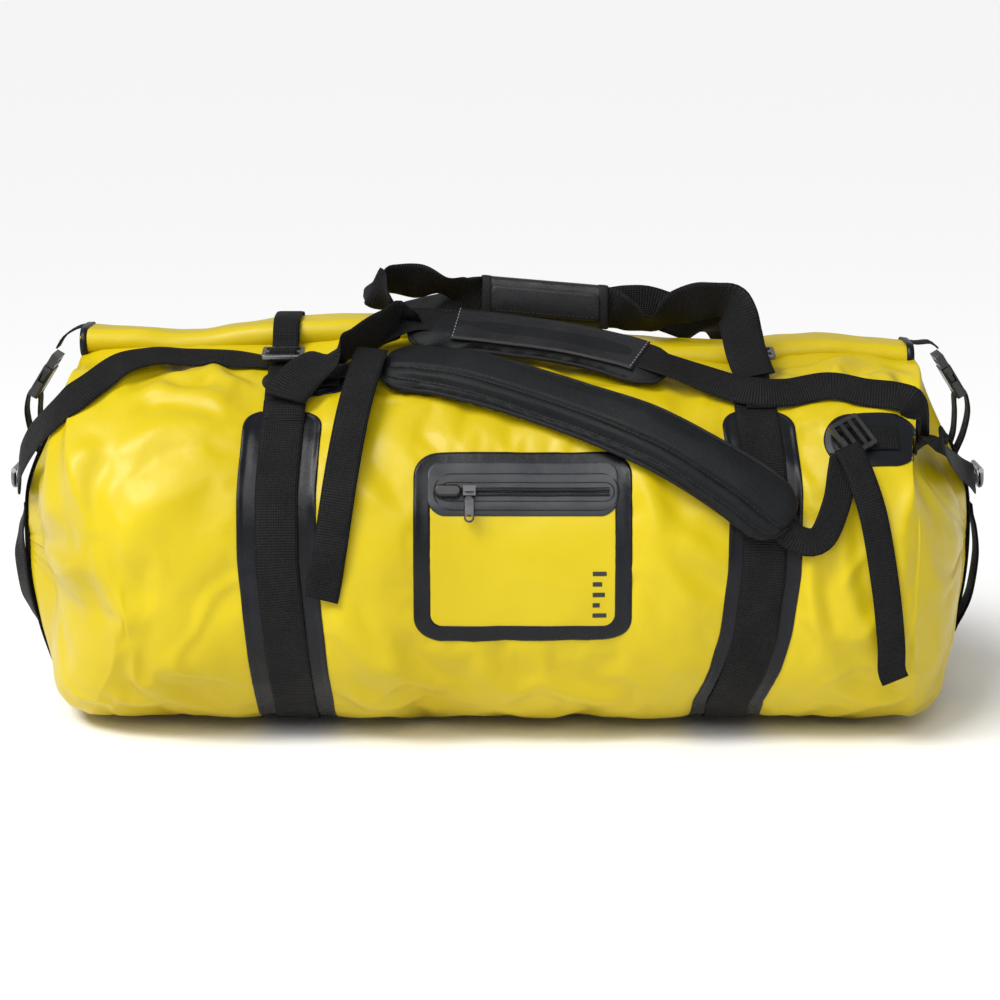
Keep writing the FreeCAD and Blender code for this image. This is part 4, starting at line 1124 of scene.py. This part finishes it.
def make_backpack_straps():
    """Front and back: webbing, pad, webbing down to the ladder lock, and the loose end out of it."""
    for face, sign in FACES:
        def put(x, girth, lift, sign=sign):
            return on(x, sign * girth, lift)

        upper = [put(-168, 102, 4), put(-141, 103, 6), put(-112, 106, 10), put(-96, 108, 13)]
        webbing_strap(f"backpack_webbing_top_{face}", upper, STRAP_WIDTH, f"backpack_webbing_upper_{face}")
        pad = []
        for x, girth, lift, lean in ((-106, 104, 10, 0), (-60, 113, 12, 25), (-20, 127, 14.5, 40),
                                     (60, 155, 12.5, 18), (140, 192, 12, 4), (205, 229, 13, 0),
                                     (256, 266, 13, 0)):
            pad.append((put(x, girth, lift)[0], skin_normal(x * MM, sign * (girth + lean) * MM)))
        make_pad(f"backpack_pad_{face}_soft", pad, 0.066, 0.014, (f"backpack_pad_{face}",),
                 ((-sign * 0.0075, 0.0034, 0.0018), (-sign * 0.0205, 0.0034, 0.0020)))
        lower = [put(236, 252, 13), put(262, 276, 12), put(283, 276, 11.5), put(297, 248, 10.5),
                 put(302, 221, 9.5), put(305, 206, 10)]
        webbing_strap(f"backpack_webbing_low_{face}", lower, STRAP_WIDTH, f"backpack_webbing_lower_{face}")
        tail = [put(306, 200, 15), put(314, 216, 15), put(328, 258, 11.5), put(340, 318, 9), put(348, 368, 9),
                put(350, 392, 8), put(354, 402, 10)]
        webbing_strap(f"adjuster_end_{face}", tail, STRAP_WIDTH, f"adjuster_tail_{face}",
                      blend=("bag", f"adjuster_tail_{face}", tail[1][0], tail[2][0]))


def make_shoulder_strap():
    """The pad with its sleeve on the roll's front, and the webbing that runs through it from ring to ring."""
    pad_line = [(-84, -51, 368, 34), (-40, -54, 365, 33), (0, -61, 361, 31), (60, -74, 354.5, 30),
                (110, -90, 346, 30), (156, -108, 335, 30)]

    def raised(height, first=0, last=None):
        """The pad's line, lifted off the pad."""
        pairs = []
        for x, y, z, lean in pad_line[first:last]:
            angle = math.radians(lean)
            up = Vector((0, -math.sin(angle), math.cos(angle)))
            pairs.append((Vector((x, y, z)) * MM + up * height * MM, up))
        return pairs

    make_pad("shoulder_pad_soft", raised(0), 0.062, 0.011, ("shoulder_pad",), ((0.022, 0.0018, 0.0018),),
             0.026)
    sleeve_line = raised(9.3, 1, 5)
    beyond = raised(9.3)[-1]
    sleeve_line.append((sleeve_line[-1][0].lerp(beyond[0], 0.45), beyond[1]))
    sleeve = strap("shoulder_pad_sleeve", sleeve_line, 0.044, 0.0012)
    finish_piece(sleeve, SLEEVE, replaces=("shoulder_sleeve",))
    stations = frames(smooth_route(sleeve_line))
    rows = []
    for row in (0.0025, stations[-1][3] - 0.0025):
        c, a, n, r = min(stations, key=lambda s: abs(s[3] - row))
        rows.append(stitches("row", [c + a * (0.020 * k / 8) + n * 0.0009 for k in range(-8, 9)], [n] * 17))
    finish_piece(join_objects("sleeve_end_stitching", rows), LIGHT_THREAD)
    left = [at((-455.8, -11, 216), (-1, 0, 0.05)), at((-452, -38, 224), (-0.97, -0.2, 0.1)),
            at((-441, -78, 248), (-0.8, -0.5, 0.25)), at((-424, -105, 274), (-0.6, -0.65, 0.4)),
            at((-404, -124, 295), (-0.4, -0.7, 0.55)), leant(-381, 141, 7), leant(-362, 121, 7),
            leant(-340, 99, 7), leant(-313, 78, 6.5), leant(-285, 67, 6.5), leant(-248, 63, 6),
            on(-197, 67, 2.8), on(-160, 72, 3.6)]
    over = raised(7.2)
    right = [leant(205, 126, 11), leant(232, 134, 11.5), leant(262, 133, 9), leant(300, 126, 7),
             leant(332, 137, 6), leant(360, 143, 6), leant(373, 151, 6), leant(383, 164, 6),
             at((396, -151, 281), (0.5, -0.65, 0.55)), at((405, -131, 268), (0.75, -0.4, 0.5)),
             at((414, -104, 256), (0.85, -0.25, 0.45)), at((426, -71, 243), (0.9, -0.15, 0.4)),
             at((441, -38, 229), (0.95, 0, 0.25)), at((455.8, -11, 216), (1, 0, 0.05))]
    # the two lengths meet under the sleeve
    for side, pairs, start, end in (("left", left + over[:4], left[3][0], left[0][0]),
                                    ("right", over[3:] + right, right[-4][0], right[-1][0])):
        webbing_strap(f"shoulder_strap_webbing_{side}", pairs, SHOULDER_WIDTH, "shoulder_webbing",
                      blend=("bag", f"d_ring_{side}", start, end))


def make_closure_straps():
    """The straps that hold the roll down, and the webbing over each slider's bar."""
    over = [((-43, 348), (-0.7, 0.7)), ((-37, 358), (-0.95, 0.3)), ((-25, 367.5), (-0.4, 0.9)),
            ((0, 369.5), (0, 1)), ((25, 367.5), (0.4, 0.9)), ((37, 358), (0.95, 0.3)),
            ((43, 347), (0.7, 0.7))]
    slope = Vector((0, 0.98664, 0.16291))  # the sliders lie along the bag's slope
    normal = Vector((0, -0.16291, 0.98664))
    for side, x, foot in (("left", -197, 3), ("right", 236, 6)):
        rise = ridge(x * MM) / MM
        pairs = [on(x, 150, foot), on(x, 128, 6), on(x, 90, 6.2), on(x, 62, 5)]
        pairs += [at((x, y, z + rise), (0, ny, nz)) for (y, z), (ny, nz) in over]
        pairs += [on(x, -62, 4), on(x, -100, 3), on(x, -150, 3)]
        webbing_strap(f"closure_{side}", pairs, STRAP_WIDTH, f"closure_strap_{side}")
        low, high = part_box(f"tri_glide_{side}")
        middle = (low + high) / 2
        loop = [(middle + slope * (s * MM) + normal * (h * MM), normal)
                for s, h in ((-13, -3.4), (-8.5, -2.6), (-5.4, 1.2), (-2.4, 3.3), (2.4, 3.3), (5.4, 1.2),
                             (8.5, -2.6), (13, -3.4))]
        webbing_strap(f"slider_webbing_{side}", loop, STRAP_WIDTH, body=f"tri_glide_{side}", step=0.0015)


def make_handles():
    """Two handles of webbing, sewn under the bands, that meet in the wrapped grip."""
    low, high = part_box("grip_wrap")
    middle = (low + high) / 2 / MM
    half = (high.x - low.x) / 2 / MM

    def through(y):
        """The points inside the grip, tilted as it is."""
        return [((middle.x + step, y, middle.z - step * GRIP_TILT), (0, 0, 1))
                for step in (-half, -half * 0.6, half * 0.6, half)]

    front = [
        ((-190, -143, 316), (1, 0, 0)), ((-186, -138, 324), (1, 0.05, 0)),
        ((-168, -124, 341), (0.95, 0.2, 0.25)), ((-136, -103, 358), (0.75, 0.45, 0.5)),
        ((-105, -76, 371), (0.6, 0.4, 0.7)), ((-87, -53, 380), (0.5, 0.8, 0.3)),
        ((-98, -39, 389), (-0.1, 0.9, -0.4)), ((-114, -28, 401), (-0.55, 0.3, -0.7)),
        ((-115, -17, 406), (0.1, -0.95, 0.2)), ((-99, -13, 408), (0.2, -0.6, 0.75)),
        ((-76, -11, 406), (0, -0.45, 0.9)), ((-50, -7, 401), (0, -0.85, 0.5)),
        ((-34, -4, 397), (0.1, -0.7, 0.7)),
    ] + through(-2.3) + [
        ((122, -4, 373), (0, -0.5, 0.9)), ((140, -8, 366), (0, -0.85, 0.5)),
        ((153, -11, 368), (0, -0.85, 0.5)), ((172, -18, 382), (-0.1, -0.4, 0.9)),
        ((190, -26, 389), (0, -0.35, 0.95)), ((206, -34, 391), (0.2, -0.6, 0.75)),
        ((220, -47, 386), (0.75, -0.5, 0.3)), ((225, -66, 366), (1, -0.1, 0)), ((227, -88, 352), (1, 0, 0)),
        ((231, -103, 339), (1, 0, 0)), ((234, -113, 332), (1, 0, 0)),
    ]
    back = [
        ((-189, 143, 316), (1, 0, 0)), ((-184, 136, 325), (1, 0, 0)), ((-165, 118, 341), (1, -0.2, 0)),
        ((-128, 92, 354), (0.8, -0.4, 0.2)), ((-96, 58, 366), (0.5, 0.5, 0.5)),
        ((-66, 26, 377), (0.2, 0.85, 0.4)), ((-42, 9, 385), (0, 0.6, 0.75)),
    ] + through(2.3) + [
        ((122, 4, 381), (0, 0.1, 1)), ((142, 8, 380), (0, 0.2, 1)), ((164, 14, 372), (0.3, 0.1, 0.95)),
        ((182, 24, 364), (0.6, 0.3, 0.7)), ((198, 42, 356), (0.8, 0.4, 0.3)),
        ((214, 74, 350), (0.95, 0.2, 0.1)), ((226, 104, 342), (1, 0.1, 0)), ((234, 130, 328), (1, 0.05, 0)),
        ((236, 143, 317), (1, 0, 0)),
    ]
    for name, points in (("front", front), ("back", back)):
        pairs = [at(place, facing) for place, facing in points]
        webbing_strap(f"carry_handle_{name}", pairs, HANDLE_WIDTH, f"handle_webbing_{name}", WEBBING_THICK,
                      blend=("bag", "handles", (0, 0, 0.335), (0, 0, 0.385)), facing_is="across", step=0.003)
    make_grip()


def tilted(points, middle):
    """The points with the grip's slight droop to the right."""
    return [p + Vector((0, 0, -(p.x - middle.x) * GRIP_TILT)) for p in points]


def make_grip():
    """The wrapped grip: a padded sheath with bound ends, and the leaf that closes it in front."""
    low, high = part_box("grip_wrap")
    middle = (low + high) / 2
    half_length, half_depth, half_height = (high - low) / 2
    half_height -= 0.0005
    count, rows = 40, 48

    def outline(wide, tall, blunt):
        """(y, z) points round the grip, squarer than an ellipse."""
        return [(wide * math.copysign(abs(c) ** blunt, c), tall * math.copysign(abs(s) ** 0.75, s))
                for c, s in circle(count)]

    verts = []
    for r in range(rows + 1):
        x = -half_length + 2 * half_length * r / rows
        puff = 1 + 0.05 * noise.noise(Vector((x * 60, 0.3, 1.1)))
        edge = min(1.0, (half_length - abs(x)) / 0.003 + 0.6)
        for y, z in outline(half_depth * puff * edge, half_height * (1 - 0.02 * (1 - edge)), 0.55):
            dent = 0.06 * noise.noise(Vector((x * 50, y * 90, z * 90)))
            verts.append(middle + Vector((x, y * (1 + dent), z)))
    faces = grid_faces(rows + 1, count, flip=True)
    faces += [tuple(range(count)), tuple(reversed(range(rows * count, (rows + 1) * count)))]
    wrap = new_mesh("grip_sheath", tilted(verts, middle), faces)
    finish_piece(wrap, WRAP, body="handles", replaces=("grip_wrap",))
    collars = []
    bulge = ((-0.0048, 0.90), (-0.0044, 1.03), (-0.002, 1.06), (0.002, 1.06), (0.0044, 1.03), (0.0048, 0.90))
    for sign in (-1, 1):
        verts = [middle + Vector((sign * (half_length - 0.0052) + x, y, z)) for x, grow in bulge
                 for y, z in outline(half_depth * grow, half_height * (1 + (grow - 1) * 0.4), 0.6)]
        collars.append(new_mesh("collar", tilted(verts, middle), grid_faces(len(bulge), count, flip=True)))
    finish_piece(join_objects("grip_collars", collars), BINDING, body="handles")
    make_grip_leaf(middle)


def make_grip_leaf(middle):
    """The leaf in front of the grip, crowned, with stitches round it."""
    low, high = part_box("grip_flap")
    leaf = (low + high) / 2
    half_x, half_z = (high.x - low.x) / 2, (high.z - low.z) / 2
    outline = rounded_rectangle(-half_x, half_x, -half_z, half_z, 0.006, 6, 12)
    layers = ((0.0, 0.0009), (0.0004, 0.0013), (0.0015, 0.0016), (0.004, 0.0018), (0.012, 0.0019))
    count = len(outline)

    def drawn_in(inset, y):
        return [leaf + Vector((x * (half_x - inset) / half_x, y, z * (half_z - inset) / half_z)) for x,
                z in outline]

    verts = [point for inset, out in layers for point in drawn_in(inset, 0.0004 - out)] + drawn_in(0, 0.0007)
    faces = grid_faces(len(layers), count)
    base = len(layers) * count
    faces.append(tuple(range(base - count, base)))
    faces += [(base + k, base + (k + 1) % count, (k + 1) % count, k) for k in range(count)]
    faces.append(tuple(reversed(range(base, base + count))))
    hinge = Vector((leaf.x, leaf.y, high.z))
    bend = ("handles", "grip_flap", hinge, hinge - Vector((GRIP_TILT, 0, 1)) * 0.010)
    cover = new_mesh("grip_leaf", tilted(verts, middle), faces)
    finish_piece(cover, WRAP, replaces=("grip_flap",), blend=bend)
    ring = drawn_in(0.003, -0.0014)
    ring = tilted(ring + ring[:1], middle)
    thread = stitches("grip_leaf_stitching", ring, [Vector((0, -1, 0))] * len(ring))
    finish_piece(thread, THREAD, blend=bend)


def make_tail():
    """The long loose strap end at the left."""
    tail = [on(-113, 100, 26), on(-118, 120, 25), on(-127, 165, 20), on(-136, 220, 12), on(-145, 275, 9),
            on(-152, 316, 8), on(-155, 330, 9)]
    webbing_strap("loose_strap_end", tail, TAIL_WIDTH, "loose_tail",
                  blend=("bag", "loose_tail", tail[1][0], tail[2][0]))


def make_ends():
    """Down each end: the sewn webbing, the grab loop on it, the buckle's keeper and the roll's tab."""
    for side, sign in SIDES:
        def spot(x, z, lift, sign=sign):
            lean = max(-1.0, min(1.0, (z - 160) / 130.0))
            outward = Vector((sign * math.cos(lean), 0, math.sin(lean)))
            base = Vector((sign * x, 0, z)) * MM
            hit = CLOTH.ray_cast(base + outward * 0.05, -outward, 0.1)
            return (hit[0] if hit[0] else base) + outward * lift * MM, outward

        line = [spot(x, z, 2.6) for x, z in ((428, 27), (442, 72), (449, 118), (449, 160), (449, 204),
                                             (442, 232), (430, 258))]
        webbing_strap(f"end_webbing_{side}_sewn", line, HANDLE_WIDTH, f"end_webbing_{side}", WEBBING_THICK)
        bow = ((60, 6.0), (70, 7.0), (86, 10.5), (108, 13.5), (142, 13.5), (166, 10.5), (180, 7.0),
               (190, 6.0))
        loop = [spot(449, z, lift) for z, lift in bow]
        if side == "left":  # this one hangs a little forward and turned
            for number, (place, facing) in enumerate(loop):
                share = max(0.0, 1 - abs(place.z - 0.125) / 0.075)
                loop[number] = (place + Vector((0.004, -0.013, 0)) * share,
                                (facing + Vector((0, -0.75, 0)) * share).normalized())
        webbing_strap(f"end_grab_{side}", loop, SHOULDER_WIDTH, f"end_handle_{side}", WEBBING_THICK)
        held = ((437, 238), (445, 258), (449, 280), (446.5, 296), (442, 303), (438.4, 301), (435.5, 295),
                (436.5, 280), (436, 262), (433, 250))
        keeper = [at((sign * x, 0, z), (0, 1, 0)) for x, z in held]
        webbing_strap(f"buckle_anchor_{side}", keeper, STRAP_WIDTH, facing_is="across", step=0.002)
        rise = ridge(sign * 0.39) / MM
        tab = [at((sign * x, 0, z), (sign * nx, 0, nz)) for x, z, nx, nz in
               ((386, 366 + rise, 0.2, 1), (397, 364 + rise, 0.5, 0.9), (410, 354 + rise * 0.4, 0.9, 0.4),
                (417, 342, 1, 0.2))]
        webbing_strap(f"roll_end_tab_{side}", tab, STRAP_WIDTH, f"roll_tab_{side}",
                      body=f"buckle_plug_{side}")


def paint_hardware():
    """Buckles, sliders, rings and the zip's moulded pieces keep their CAD shapes."""
    slots = {s["node"]: s["material_slot"] for s in frame["record"]["subparts"]}
    for name, node in frame["nodes"].items():
        if node.hide_render:
            continue
        chosen = METAL if slots.get(name) == "metal" else PLASTIC
        if name.startswith("zip"):
            chosen = BLACK_METAL
        node.data.materials.clear()
        node.data.materials.append(chosen)


def make_stage():
    """A pale floor that fills the view, soft light and the camera."""
    corners = [(x * FLOOR_REACH, y * FLOOR_REACH, 0) for x, y in ((-1, -1), (1, -1), (1, 1), (-1, 1))]
    floor = new_mesh("floor", corners, [(0, 1, 2, 3)], smooth=False)
    mat, _, _, shader = material("pale_floor")
    shader.inputs["Base Color"].default_value = (0.93, 0.93, 0.93, 1)
    shader.inputs["Roughness"].default_value = 0.9
    floor.data.materials.append(mat)
    bpy.context.scene.view_settings.view_transform = "Standard"
    world = bpy.data.worlds.new("studio")
    bpy.context.scene.world = world
    world.use_nodes = True
    world.node_tree.nodes["Background"].inputs[0].default_value = (1, 1, 1, 1)
    world.node_tree.nodes["Background"].inputs[1].default_value = 0.44
    lights = (("sun", "SUN", (-1.1, -1.2, 2.4), 2.25, 0.45),
              ("left_strip", "AREA", (-1.3, -0.9, 1.3), 8, 0.4),
              ("front_window", "AREA", (-0.2, -2.2, 1.75), 21, 1.3))
    for name, kind, place, power, size in lights:
        light = bpy.data.lights.new(name, kind)
        light.energy = power
        if kind == "SUN":
            light.angle = size
        else:
            light.size = size
        lamp = bpy.data.objects.new(name, light)
        lamp.location = place
        lamp.rotation_euler = (Vector((0, 0, 0.2)) - Vector(place)).to_track_quat("-Z", "Y").to_euler()
        bpy.context.scene.collection.objects.link(lamp)
    camera = bpy.data.cameras.new("camera")
    camera.sensor_width = 36
    camera.lens = 89.77
    eye = bpy.data.objects.new("camera", camera)
    bpy.context.scene.collection.objects.link(eye)
    target = Vector((0.0025, 0, 0.193))
    elevation = math.radians(12)
    eye.location = target + 2.4 * Vector((0, -math.cos(elevation), math.sin(elevation)))
    eye.rotation_euler = (target - eye.location).to_track_quat("-Z", "Y").to_euler()
    bpy.context.scene.camera = eye


make_roll()
make_bands()
make_pocket()
make_ovals()
make_backpack_straps()
make_shoulder_strap()
make_closure_straps()
make_handles()
make_tail()
make_ends()
paint_hardware()
make_stage()
